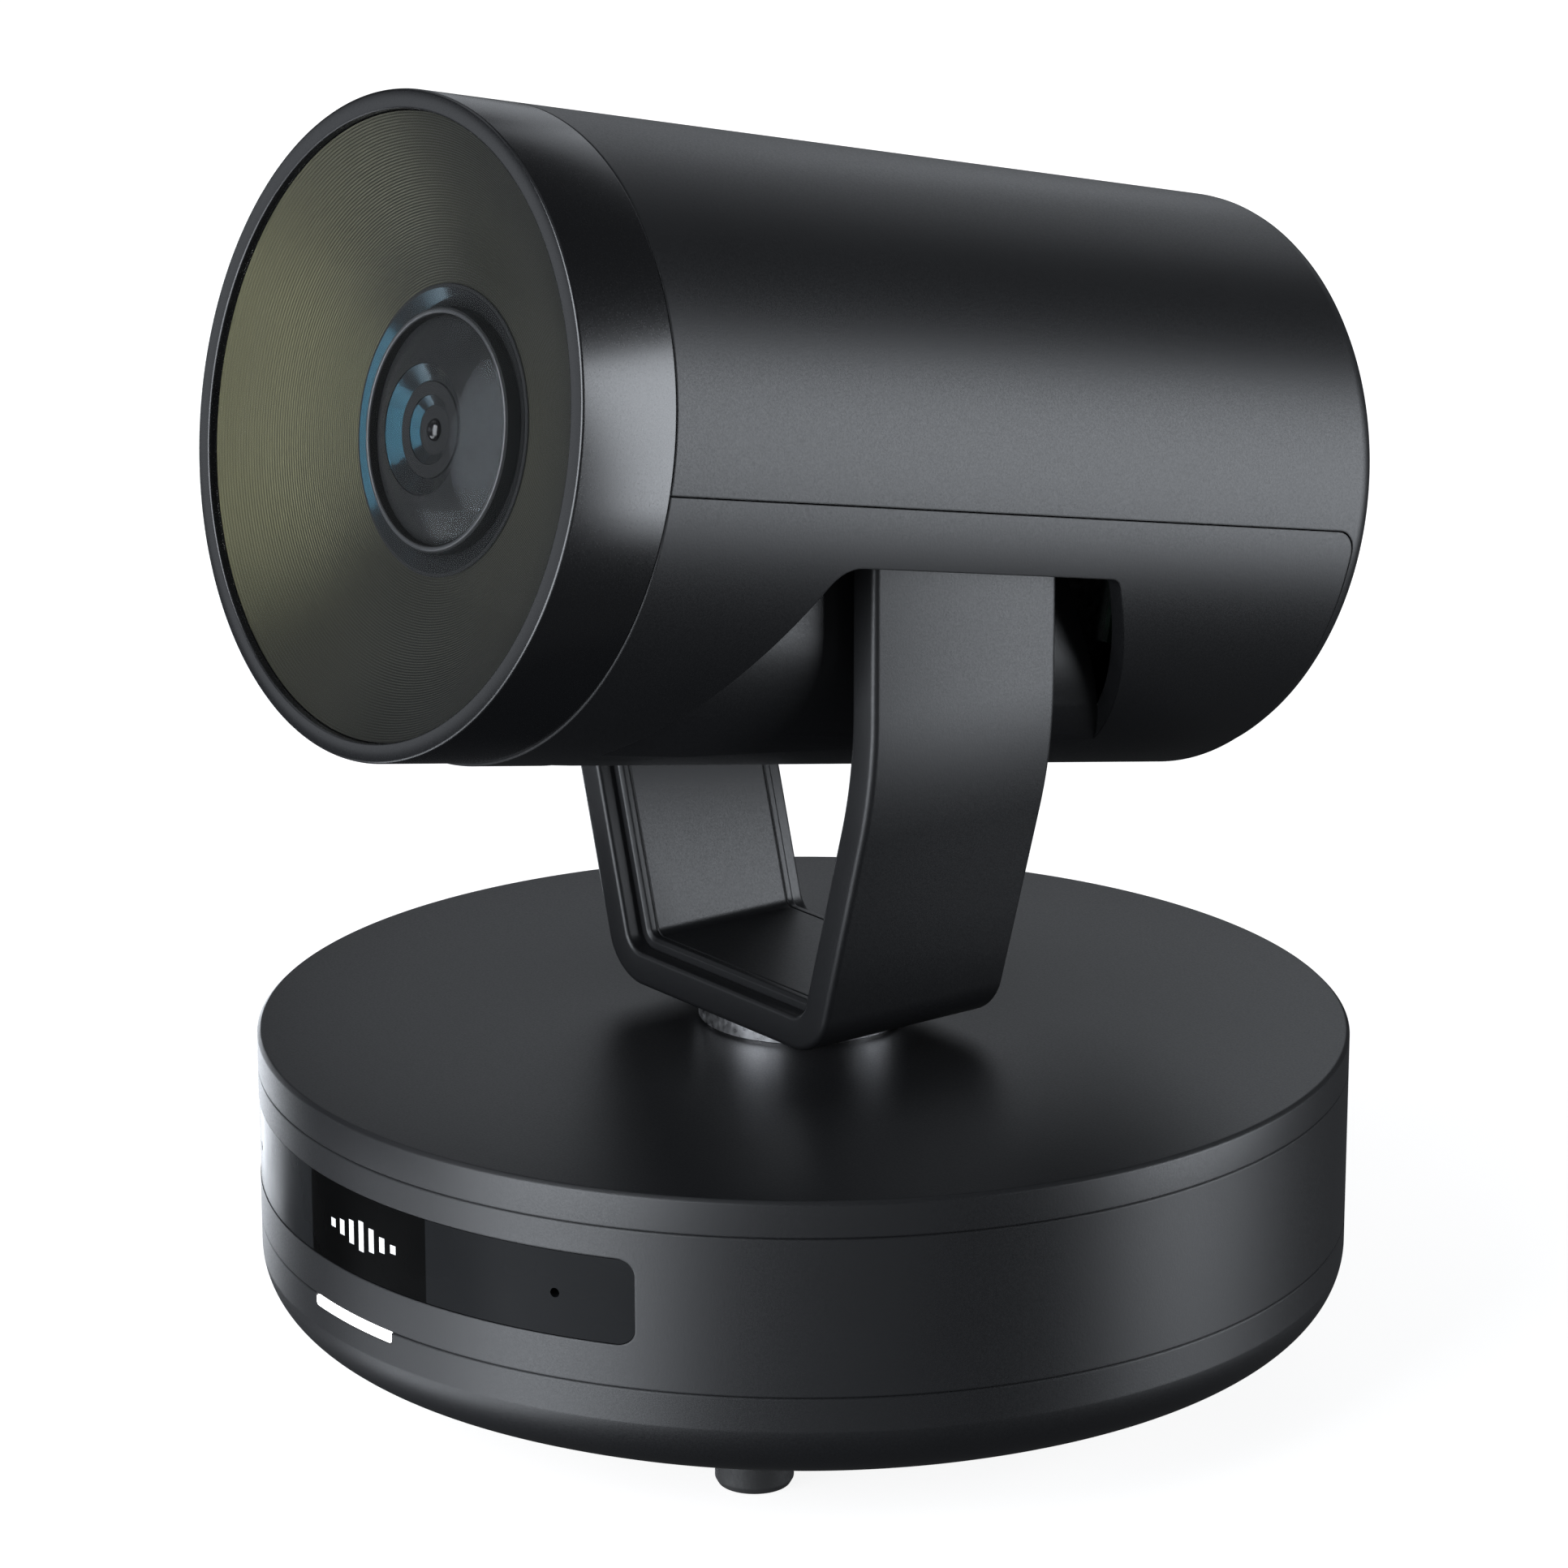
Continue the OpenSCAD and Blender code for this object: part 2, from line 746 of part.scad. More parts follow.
// The head's outer cup: open at the front ring, closed at the rear.
module head_cup(wall) {
    end_r = head_radius(head_half);
    rear_outline = arc(end_r - rear_round, head_half - rear_round, rear_round, 0, 90, 6);
    inside = wall == 0 ? [[0, ring_back]] : [
        [0, head_half - cap_t], [end_r - wall, head_half - cap_t],
        [head_radius(ring_back) - wall, ring_back]
    ];
    along_y() rotate_extrude($fn = 180)
        polygon(concat([[head_radius(ring_back), ring_back]], rear_outline, [[0, head_half]], inside));
}

// The part of the head that the lower shell takes: below the side seam, short of the rear.
module insert_region() {
    c = insert_corner;
    translate([-60, 0, 0]) rotate([90, 0, 90]) linear_extrude(120) polygon(concat(
        [[-60, -60], [-60, split_z]],
        arc(insert_end - c, split_z - c, c, 90, 0, 6),
        [[insert_end, -60]]
    ));
}

// Side view of a slot: flat top, two slanting edges, open below.
module slot_fan() {
    function corner_y(r) = (slot_edge - r + (slot_top + r) * sin(slot_slant)) / cos(slot_slant);
    low = 55;
    low_y = (slot_edge + low * sin(slot_slant)) / cos(slot_slant);
    front_r = 5.5;
    rear_r = 2;
    polygon(concat(
        [[-low_y, -low]],
        arc(-corner_y(front_r), -slot_top - front_r, front_r, 180 - slot_slant, 90, 6),
        arc(corner_y(rear_r), -slot_top - rear_r, rear_r, 90, slot_slant, 4),
        [[low_y, -low]]
    ));
}

// Cross-section of the body between the slots: upright cheeks that round into the belly.
module core_outline(inset) {
    belly = head_radius(-38);
    cx = core_x - core_r;
    cz = -insert_drop - sqrt(pow(belly - core_r, 2) - cx * cx);
    reach = 3 * [cx, cz + insert_drop];
    intersection() {
        translate([0, -insert_drop]) circle(r = belly - inset);
        polygon([[0, -insert_drop], reach, [0, -200], [-reach[0], reach[1]]]);
    }
    for (side = [-1, 1]) translate([side * cx, cz]) circle(r = core_r - inset);
    translate([-core_x + inset, cz]) square([2 * (core_x - inset), 20 - cz]);
}

module core(inset) {
    translate([0, 60, 0]) rotate([90, 0, 0]) linear_extrude(120) core_outline(inset);
}

module slot_prism() {
    translate([-60, 0, 0]) rotate([90, 0, 90]) linear_extrude(120) slot_fan();
}

module at_head_screws() {
    for (x = [-head_screw_x, head_screw_x], y = [-head_screw_y, head_screw_y])
        translate([x, y, 0]) children();
}

module head_upper_shell() {
    color(charcoal) in_head() difference() {
        head_cup(head_wall);
        insert_region();
    }
}

module head_lower_shell() {
    cheek_t = 1.8;
    boss_r = 3.5;
    boss_low = head_screw_z - 0.5;
    sunk_r = 3;
    sunk_top = head_screw_z + head_screw_h;
    color(charcoal) in_head() difference() {
        union() {
            difference() {
                intersection() {
                    translate([0, 0, -insert_drop]) head_cup(head_wall);
                    insert_region();
                }
                difference() {
                    slot_prism();
                    core(0);
                }
            }
            intersection() {
                translate([0, 0, -insert_drop]) head_cup(0);
                slot_prism();
                difference() {
                    core(0);
                    core(cheek_t);
                }
            }
            at_head_screws() translate([0, 0, boss_low]) cylinder(r = boss_r, h = frame_floor - boss_low);
        }
        at_head_screws() translate([0, 0, -50]) {
            cylinder(r = sunk_r, h = 50 + sunk_top);
            cylinder(r = screw_r + screw_play, h = 40);
        }
    }
}

module front_ring() {
    spigot = 6;
    spigot_r = head_radius(ring_back + spigot) - head_wall - 0.1;
    inner_r = 38.9;
    seat_r = glass_r + 0.05;
    color(charcoal) in_head() along_y() rotate_extrude($fn = 180) polygon([
        [head_r, -head_half], [head_radius(ring_back), ring_back], [spigot_r, ring_back],
        [spigot_r, ring_back + spigot], [inner_r, ring_back + spigot], [inner_r, glass_back],
        [seat_r, glass_back], [seat_r, -head_half]
    ]);
}

module front_glass() {
    color([0.1, 0.1, 0.1, 0.4]) in_head() translate([0, glass_front, 0]) along_y()
        cylinder(r = glass_r, h = glass_t, $fn = 180);
}

module baffle() {
    rim_r = 38.85;
    color(black) in_head() along_y() rotate_extrude($fn = 180) polygon([
        [rim_r, glass_back + 0.1], [rim_r, glass_back + 2],
        [lens_ring_r, lens_ring_y + 1.9], [lens_ring_r, lens_ring_y]
    ]);
}

module lens_barrel() {
    seat_end = lens_edge_y + 4;
    color(black) in_head() along_y() rotate_extrude() polygon([
        [lens_r, lens_edge_y], [lens_ring_r, lens_ring_y], [lens_ring_r, block_front],
        [lens_r - lens_seat, block_front], [lens_r - lens_seat, seat_end], [lens_r, seat_end]
    ]);
}

// A lens with a domed front: rim radius, curvature, rim position along the head and edge thickness.
module domed_lens(r, curve, rim_y, edge_t) {
    rim_deg = asin(r / curve);
    centre_y = rim_y + curve * cos(rim_deg);
    along_y() rotate_extrude() polygon(concat(
        [[0, rim_y + edge_t], [0, centre_y - curve]],
        [for (k = [1:8]) [curve * sin(rim_deg * k / 8), centre_y - curve * cos(rim_deg * k / 8)]],
        [[r, rim_y + edge_t]]
    ));
}

module front_lens() {
    color([0.1, 0.15, 0.18, 0.5]) in_head() domed_lens(lens_r, lens_curve, lens_edge_y, 3.9);
}

module inner_lens_cell() {
    color(black) in_head() translate([0, cell_y, 0]) along_y()
        tube_between(lens_r - lens_seat, inner_lens_r, 0, cell_t);
}

module inner_lens() {
    color([0.1, 0.2, 0.25, 0.5]) in_head() domed_lens(inner_lens_r, inner_curve, inner_lens_y, 1.6);
}

module iris() {
    color(black) in_head() translate([0, iris_y, 0]) along_y()
        tube_between(lens_r - lens_seat, iris_r, 0, iris_t);
}

module zoom_block() {
    color(black) in_head() difference() {
        block([-block_half, block_front, -block_half], [block_half, block_back, block_half]);
        translate([0, block_front - 1, 0]) along_y()
            cylinder(r = block_bore_r, h = block_bore + 1);
    }
}

module sensor_board() {
    color(board_green) in_head()
        block([-sensor_half, block_back, -sensor_half], [sensor_half, block_back + board_t, sensor_half]);
}

module video_board() {
    front = frame_back + frame_t;
    color(board_green) in_head()
        block([-video_half, front, video_low], [video_half, front + board_t, video_half]);
}

module head_frame() {
    top = 14;
    outer = frame_x + frame_t;
    color(steel) in_head() difference() {
        union() {
            for (x = [-outer, frame_x])
                block([x, frame_front, frame_floor], [x + frame_t, frame_back, top]);
            block([-outer, frame_front, frame_floor], [outer, frame_back, frame_floor + frame_t]);
            block([-outer, frame_back, frame_floor], [outer, frame_back + frame_t, top]);
        }
        translate([-50, 0, 0]) along_x() cylinder(r = bush_r, h = 100);
        translate([10, tilt_centres, 0]) along_x() cylinder(r = 3, h = 20);
        at_head_screws() translate([0, 0, frame_floor - 1]) cylinder(r = screw_r, h = 5);
    }
}

module head_screws() {
    shank_z = head_screw_z + head_screw_h;
    color(steel) in_head() at_head_screws() {
        translate([0, 0, head_screw_z]) cylinder(r = head_screw_r, h = head_screw_h);
        translate([0, 0, shank_z]) cylinder(r = screw_r, h = frame_floor + frame_t - 0.1 - shank_z);
    }
}

module tilt_bushes() {
    color(bronze) in_head() for (x = [frame_x - 0.2, -frame_x - frame_t - 0.2])
        translate([x, 0, 0]) along_x() tube_between(bush_r, trunnion_r + running_gap, 0, frame_t + 0.4);
}

module tilt_motor() {
    color(steel) in_head() translate([frame_x - tilt_motor_len, tilt_centres, 0]) along_x() difference() {
        cylinder(r = tilt_motor_r, h = tilt_motor_len);
        translate([0, 0, 2]) cylinder(r = tilt_shaft_r + running_gap, h = tilt_motor_len);
    }
}

module tilt_motor_shaft() {
    low = frame_x - tilt_motor_len + 2.3;
    color(steel) in_head() translate([low, tilt_centres, 0]) along_x()
        cylinder(r = tilt_shaft_r, h = tilt_gear_x + tilt_gear_h - low);
}

module tilt_pinion() {
    color(gear_white) in_head() translate([tilt_gear_x, tilt_centres, 0]) rotate([90, 0, 90])
        linear_extrude(tilt_gear_h) difference() {
            gear_outline(tilt_pinion_teeth, tilt_module);
            circle(r = tilt_shaft_r);
        }
}

base_bottom_shell();
base_wall_ring();
base_lid();
front_window();
display_panel();
status_light();
status_light_board();
microphones();
remote_receiver();
rubber_feet();
tripod_insert();
base_screws();
chassis_plate();
pan_bush();
thrust_washer();
pan_motor();
pan_motor_shaft();
pan_pinion();
main_board();
io_board();
io_panel();
dc_inlet();
audio_socket();
hdmi_socket();
usb_socket();
lan_socket();
yoke();
yoke_inner_cover();
yoke_screws();
pan_spindle();
pan_gear();
spindle_clip();
trunnions();
tilt_gear();
head_upper_shell();
head_lower_shell();
front_ring();
front_glass();
baffle();
lens_barrel();
front_lens();
inner_lens_cell();
inner_lens();
iris();
zoom_block();
sensor_board();
video_board();
head_frame();
head_screws();
tilt_bushes();
tilt_motor();
tilt_motor_shaft();
tilt_pinion();
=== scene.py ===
"""Looks of the desktop pan-tilt-zoom camera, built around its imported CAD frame.

Shapes are worked out in millimetres and scaled to metres when a mesh is made. Pieces of the
head are drawn level, about the tilt axis with the lens towards -Y, and then tilted.
"""

import json
import math

import bmesh
import bpy
from mathutils import Matrix, Vector


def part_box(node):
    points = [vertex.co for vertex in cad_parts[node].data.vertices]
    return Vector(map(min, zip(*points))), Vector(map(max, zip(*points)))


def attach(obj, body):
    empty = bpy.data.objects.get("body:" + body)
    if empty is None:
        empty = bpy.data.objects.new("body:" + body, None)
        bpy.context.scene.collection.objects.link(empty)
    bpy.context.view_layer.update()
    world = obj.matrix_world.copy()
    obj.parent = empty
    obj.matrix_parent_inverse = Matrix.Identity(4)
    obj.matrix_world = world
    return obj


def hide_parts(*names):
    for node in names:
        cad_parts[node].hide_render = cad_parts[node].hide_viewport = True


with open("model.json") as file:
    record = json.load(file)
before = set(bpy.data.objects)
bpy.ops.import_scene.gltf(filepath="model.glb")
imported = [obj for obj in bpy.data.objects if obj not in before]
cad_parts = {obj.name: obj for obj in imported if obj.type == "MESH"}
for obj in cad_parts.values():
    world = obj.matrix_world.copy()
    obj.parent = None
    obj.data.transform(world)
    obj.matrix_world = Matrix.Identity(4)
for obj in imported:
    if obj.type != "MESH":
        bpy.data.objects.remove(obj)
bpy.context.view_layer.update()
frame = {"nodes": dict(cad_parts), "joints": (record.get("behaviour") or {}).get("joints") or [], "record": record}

MM = 0.001
SEGMENTS = 240
SHARP = math.radians(28)
WELD = 1e-7


# ---------- measures taken from the frame ----------

joints = {j["name"]: j for j in frame["joints"]}
pivot_z = joints["tilt"]["pos_m"][2] / MM
# The tilt's range is even about level, so its middle says how far the head is raised at rest.
raised_deg = -sum(joints["tilt"]["range_deg"]) / 2
HEAD = Matrix.Translation((0, 0, pivot_z * MM)) @ Matrix.Rotation(math.radians(-raised_deg), 4, "X")
LEVEL = HEAD.inverted()


def box_mm(node):
    """A node's lowest and highest corners in millimetres."""
    low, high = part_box(node)
    return low / MM, high / MM


def head_box(node):
    """A head node's lowest and highest corners in the level head's own frame, in millimetres."""
    points = [(LEVEL @ v.co) / MM for v in frame["nodes"][node].data.vertices]
    low = Vector([min(p[k] for p in points) for k in range(3)])
    high = Vector([max(p[k] for p in points) for k in range(3)])
    return low, high


wall_low, wall_high = box_mm("base_wall_ring")
window_low, window_high = box_mm("front_window")
display_low, display_high = box_mm("display_panel")
light_low, light_high = box_mm("status_light")
panel_low, panel_high = box_mm("io_panel")
yoke_low, yoke_high = box_mm("yoke")
lining_high = box_mm("yoke_inner_cover")[1]
feet_high = box_mm("rubber_feet")[1]

lid_top = box_mm("base_lid")[1].z
belly_z = box_mm("base_bottom_shell")[0].z
base_r = wall_high.x
seam_low = wall_low.z
seam_high = wall_high.z

ring_low, ring_high = head_box("front_ring")
upper_low, upper_high = head_box("head_upper_shell")
glass_low, glass_high = head_box("front_glass")
barrel_low, barrel_high = head_box("lens_barrel")
lens_high = head_box("front_lens")[1]
baffle_r = head_box("baffle")[1].x

front_y = ring_low.y
front_r = ring_high.x
ring_back = upper_low.y
rear_y = upper_high.y

# The head narrows by this share of the way along it.
taper = 0.021
# Width of the broken edges along the parting lines.
seam_edge = 0.16


def head_radius(y):
    """Outer radius of the head at a place along it."""
    return front_r - taper * (y - front_y)


# ---------- mesh helpers ----------


def rounded(corners, steps=5):
    """An outline through (x, y) or (x, y, radius) corners, with an arc at each that has a radius."""
    out = []
    count = len(corners)
    for i, corner in enumerate(corners):
        here = Vector(corner[:2])
        radius = corner[2] if len(corner) > 2 else 0
        if not radius:
            out.append(tuple(here))
            continue
        before = (Vector(corners[i - 1][:2]) - here).normalized()
        after = (Vector(corners[(i + 1) % count][:2]) - here).normalized()
        half = before.angle(after) / 2
        reach = radius / math.tan(half)
        middle = here + (before + after).normalized() * radius / math.sin(half)
        start = here + before * reach - middle
        turn = start.angle_signed(here + after * reach - middle)
        for k in range(steps + 1):
            point = start.copy()
            point.rotate(Matrix.Rotation(-turn * k / steps, 2))
            out.append(tuple(middle + point))
    return out


def arc(cx, cy, r, a0, a1, steps):
    """Points round a centre, from one angle to another in degrees."""
    angles = [math.radians(a0 + (a1 - a0) * k / steps) for k in range(steps + 1)]
    return [(cx + r * math.cos(a), cy + r * math.sin(a)) for a in angles]


def finish_mesh(obj):
    """Welds doubles, turns faces outwards and shades smooth between sharp edges."""
    bm = bmesh.new()
    bm.from_mesh(obj.data)
    bmesh.ops.remove_doubles(bm, verts=bm.verts, dist=WELD)
    bmesh.ops.dissolve_degenerate(bm, edges=bm.edges, dist=WELD)
    bmesh.ops.recalc_face_normals(bm, faces=bm.faces)
    bm.to_mesh(obj.data)
    bm.free()
    obj.data.shade_smooth()
    obj.data.set_sharp_from_angle(angle=SHARP)
    return obj


def add_mesh(name, points, faces, place=None):
    """A new object from points in millimetres, put in place by an optional matrix."""
    mesh = bpy.data.meshes.new(name)
    mesh.from_pydata([Vector(p) * MM for p in points], [], faces)
    if place is not None:
        mesh.transform(place)
    obj = bpy.data.objects.new(name, mesh)
    bpy.context.scene.collection.objects.link(obj)
    return finish_mesh(obj)


def lathe(name, outline, axis="Z", place=None, segments=SEGMENTS):
    """A closed outline of (radius, height) points turned round an axis."""
    points, faces = [], []
    count = len(outline)
    for s in range(segments):
        a = 2 * math.pi * s / segments
        for r, h in outline:
            x, y = r * math.cos(a), r * math.sin(a)
            points.append((x, y, h) if axis == "Z" else (x, h, y))
    for s in range(segments):
        t = (s + 1) % segments
        for k in range(count):
            n = (k + 1) % count
            faces.append((s * count + k, t * count + k, t * count + n, s * count + n))
    return add_mesh(name, points, faces, place)


def prism(name, outline, low, high, axis, place=None):
    """An outline extruded along an axis: (y, z) along X, or (x, z) along Y."""
    points = []
    for end in (low, high):
        for corner in outline:
            point = list(corner)
            point.insert("XYZ".index(axis), end)
            points.append(point)
    count = len(outline)
    caps = [tuple(range(count)), tuple(range(count, 2 * count))]
    sides = [(k, (k + 1) % count, count + (k + 1) % count, count + k) for k in range(count)]
    return add_mesh(name, points, caps + sides, place)


def combine(obj, tool, operation):
    """Applies a boolean of a tool shape to a piece, and removes the tool."""
    step = obj.modifiers.new("cut", "BOOLEAN")
    step.operation = operation
    step.solver = "EXACT"
    step.object = tool
    evaluated = obj.evaluated_get(bpy.context.evaluated_depsgraph_get())
    mesh = bpy.data.meshes.new_from_object(evaluated)
    obj.modifiers.clear()
    old = obj.data
    obj.data = mesh
    bpy.data.meshes.remove(old)
    bpy.data.objects.remove(tool)
    return finish_mesh(obj)


def true_normals(obj, round_normal, within=5):
    """Gives faces that lie on a known round surface that surface's own normals."""
    limit = math.cos(math.radians(within))
    mesh = obj.data
    custom = []
    for face in mesh.polygons:
        for index in face.vertices:
            normal = round_normal(mesh.vertices[index].co)
            facing = face.normal.dot(normal)
            if abs(facing) > limit:
                custom.append(normal if facing > 0 else -normal)
            else:
                custom.append(Vector((0, 0, 0)))
    mesh.normals_split_custom_set(custom)


def upright_round(point):
    """Normal of an upright cylinder about the origin."""
    return Vector((point.x, point.y, 0)).normalized()


def head_cone(lowered=0.0):
    """What gives the normals of the head's tapered tube, whose axis may lie a little lower."""

    def cone_normal(point):
        level = LEVEL @ point
        radial = Vector((level.x, 0, level.z + lowered * MM)).normalized()
        return (HEAD.to_3x3() @ (radial + Vector((0, taper, 0)))).normalized()

    return cone_normal


def move(obj, x, y, z=0.0):
    """Shifts a piece's mesh, in millimetres."""
    obj.data.transform(Matrix.Translation((x * MM, y * MM, z * MM)))
    return obj


def settle(obj, body, nodes, material):
    """Rides a piece on its body, in place of CAD nodes, with its material."""
    obj.data.materials.clear()
    obj.data.materials.append(material)
    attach(obj, body)
    if nodes:
        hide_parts(*nodes)


# ---------- materials ----------


class Shader:
    """A node material with one Principled shader and object coordinates."""

    def __init__(self, name, **values):
        self.material = bpy.data.materials.new(name)
        self.material.use_nodes = True
        self.nodes = self.material.node_tree.nodes
        self.links = self.material.node_tree.links
        self.shader = self.nodes["Principled BSDF"]
        self.coords = self.nodes.new("ShaderNodeTexCoord").outputs["Object"]
        for key, value in values.items():
            self.shader.inputs[key.replace("_", " ")].default_value = value

    def noise(self, scale, detail, stretch=None):
        """A cloudy pattern with so many cells to a metre."""
        node = self.nodes.new("ShaderNodeTexNoise")
        node.inputs["Scale"].default_value = scale
        node.inputs["Detail"].default_value = detail
        coords = self.coords
        if stretch:
            mapping = self.nodes.new("ShaderNodeMapping")
            mapping.inputs["Scale"].default_value = stretch
            self.links.new(coords, mapping.inputs["Vector"])
            coords = mapping.outputs["Vector"]
        self.links.new(coords, node.inputs["Vector"])
        return node.outputs["Fac"]

    def ranged(self, source, low, high, start=0.3, end=0.7):
        """Numbers from low to high, where a pattern goes from start to end."""
        node = self.nodes.new("ShaderNodeMapRange")
        node.inputs["From Min"].default_value = start
        node.inputs["From Max"].default_value = end
        node.inputs["To Min"].default_value = low
        node.inputs["To Max"].default_value = high
        self.links.new(source, node.inputs["Value"])
        return node.outputs["Result"]

    def ramp(self, source, stops):
        """Colours blended between (place, colour) stops on a pattern."""
        node = self.nodes.new("ShaderNodeValToRGB")
        ramp = node.color_ramp
        while len(ramp.elements) < len(stops):
            ramp.elements.new(0.5)
        for element, (place, colour) in zip(ramp.elements, stops):
            element.position = place
            element.color = (*colour, 1)
        self.links.new(source, node.inputs["Fac"])
        return node.outputs["Color"]

    def into(self, source, socket):
        """Feeds one of the shader's sockets."""
        self.links.new(source, self.shader.inputs[socket])
        return self

    def bump(self, height, distance, strength, edge=0.0):
        """Relief from a pattern, and edges that look rounded by a radius in metres."""
        node = self.nodes.new("ShaderNodeBump")
        node.inputs["Distance"].default_value = distance
        node.inputs["Strength"].default_value = strength
        self.links.new(height, node.inputs["Height"])
        if edge:
            soft = self.nodes.new("ShaderNodeBevel")
            soft.samples = 4
            soft.inputs["Radius"].default_value = edge
            self.links.new(soft.outputs["Normal"], node.inputs["Normal"])
        return self.into(node.outputs["Normal"], "Normal")


def moulded(name, colour, roughness, grain=3500, depth=0.000012, edge=0.0, **values):
    """Moulded or painted plastic: fine grain, slight mottling of colour and roughness."""
    spread, uneven = 0.12, 0.04
    made = Shader(name, **values)
    mottle = made.noise(38, 4)
    dark = tuple(c * (1 - spread) for c in colour)
    light = tuple(c * (1 + spread) for c in colour)
    made.into(made.ramp(mottle, [(0.3, dark), (0.7, light)]), "Base Color")
    fine = made.noise(grain, 2)
    made.into(made.ranged(fine, roughness - uneven, roughness + uneven), "Roughness")
    made.bump(fine, depth, 0.6, edge)
    return made.material


def polished(name, colour, roughness, **values):
    """Plastic from a polished mould, with hardly any grain."""
    return moulded(name, colour, roughness, grain=5000, depth=0.000001, **values)


def metal(name, colour, roughness):
    """Machined or plated metal with fine marks."""
    made = Shader(name, Metallic=1.0)
    marks = made.noise(900, 4)
    dark = tuple(c * 0.86 for c in colour)
    made.into(made.ramp(marks, [(0.3, dark), (0.7, colour)]), "Base Color")
    made.into(made.ranged(marks, roughness - 0.07, roughness + 0.1), "Roughness")
    made.bump(marks, 0.00001, 0.4)
    return made.material


def board(name):
    """Green solder mask with faint copper tracks under it."""
    made = Shader(name, Roughness=0.35, Coat_Weight=0.4)
    mask, copper = (0.008, 0.05, 0.025), (0.02, 0.11, 0.05)
    tracks = made.noise(260, 1, (1, 0.25, 1))
    made.into(made.ramp(tracks, [(0.46, mask), (0.52, copper)]), "Base Color")
    made.bump(tracks, 0.00003, 0.5)
    return made.material


def coated_glass(name, colour, alpha, roughness):
    """Thin coated glass: a tinted mirror-like veil over what lies behind it."""
    made = Shader(name, Metallic=1.0, Alpha=alpha)
    smear = made.noise(60, 2)
    light = tuple(min(1.0, c * 1.15) for c in colour)
    made.into(made.ramp(smear, [(0.35, colour), (0.65, light)]), "Base Color")
    made.into(made.ranged(smear, roughness, roughness + 0.03), "Roughness")
    return made.material


def window_black():
    """Smoked acrylic, black over the display and dark grey beside it."""
    made = Shader("smoked_window", Specular_IOR_Level=0.03)
    node = made.nodes.new("ShaderNodeSeparateXYZ")
    made.links.new(made.coords, node.inputs["Vector"])
    across = made.ranged(node.outputs["X"], 0.0, 1.0, display_low.x * MM, display_high.x * MM)
    smoke, dark = (0.0092, 0.0096, 0.0102), (0.0012, 0.0012, 0.0012)
    fade = 0.004
    stops = [(0.0, smoke), (fade, dark), (1.0 - fade, dark), (1.0, smoke)]
    made.into(made.ramp(across, stops), "Base Color")
    made.into(made.ranged(made.noise(90, 2), 0.22, 0.3), "Roughness")
    return made.material


def glowing(name, colour, strength):
    """A lit diffuser with slight clouding."""
    made = Shader(name, Roughness=0.4, Emission_Strength=strength)
    dim = tuple(c * 0.9 for c in colour)
    cloud = made.ramp(made.noise(300, 2), [(0.3, dim), (0.7, colour)])
    made.into(cloud, "Emission Color").into(cloud, "Base Color")
    return made.material


shell = moulded("charcoal_plastic", (0.0055, 0.0057, 0.0064), 0.41, edge=0.0003)
satin = moulded("charcoal_gloss", (0.005, 0.0052, 0.0058), 0.24, grain=5000, depth=0.000003,
                edge=0.0002, Specular_IOR_Level=0.8)
smoked = window_black()
lamp = glowing("light_guide_white", (1.0, 1.0, 1.0), 4.0)
segment = glowing("display_grey", (0.62, 0.62, 0.62), 0.6)
cover_glass = coated_glass("cover_glass_coating", (0.5, 0.5, 0.46), 0.008, 0.02)
lens_coat = coated_glass("lens_coating", (0.6, 0.68, 0.74), 0.003, 0.02)
teal = polished("lens_coating_ring", (0.015, 0.0155, 0.016), 0.14,
                Specular_Tint=(0.12, 0.6, 0.86, 1), Specular_IOR_Level=0.32)
ridged = polished("baffle_black", (0.011, 0.0115, 0.012), 0.36,
                  Specular_Tint=(1.0, 0.96, 0.5, 1), Specular_IOR_Level=0.42)
lens_black = polished("lens_black", (0.016, 0.0165, 0.017), 0.3, Specular_IOR_Level=0.06)
lens_grey = polished("lens_ring_grey", (0.035, 0.036, 0.038), 0.34)
pupil = polished("pupil_black", (0.004, 0.004, 0.0045), 0.1)
inner_black = moulded("moulded_black", (0.014, 0.014, 0.015), 0.45, edge=0.0002)
rubber = moulded("foot_rubber", (0.012, 0.012, 0.012), 0.7, grain=1800, depth=0.00004)
steel = metal("plated_steel", (0.55, 0.55, 0.56), 0.32)
brass = metal("turned_brass", (0.72, 0.52, 0.24), 0.28)
bronze = metal("sintered_bronze", (0.42, 0.29, 0.16), 0.45)
gear_white = moulded("acetal", (0.6, 0.59, 0.55), 0.4)
green_board = board("solder_mask")

SLOT_MATERIALS = {
    "charcoal_shell": shell,
    "charcoal_satin": satin,
    "black_window": smoked,
    "display_glass": smoked,
    "light_guide": lamp,
    "front_glass": cover_glass,
    "lens_glass": lens_coat,
    "lens_black": lens_black,
    "inner_black": inner_black,
    "rubber": rubber,
    "steel": steel,
    "brass": brass,
    "bronze": bronze,
    "gear_plastic": gear_white,
    "circuit_board": green_board,
}


def dress_frame():
    """Gives every CAD node the material of its slot, and smooth shading between sharp edges."""
    slots = {s["node"]: s["material_slot"] for s in frame["record"]["subparts"]}
    for name, obj in frame["nodes"].items():
        obj.data.materials.clear()
        obj.data.materials.append(SLOT_MATERIALS[slots[name]])
        obj.data.shade_smooth()
        obj.data.set_sharp_from_angle(angle=SHARP)


# ---------- base ----------

base_wall = 2.4
wall_inner_r = base_r - base_wall
foot_r = 5.25
foot_at = feet_high.x - foot_r

# How near and how far from the middle the shapes that cut the base's wall reach.
cut_near = 40
cut_far = base_r + 5


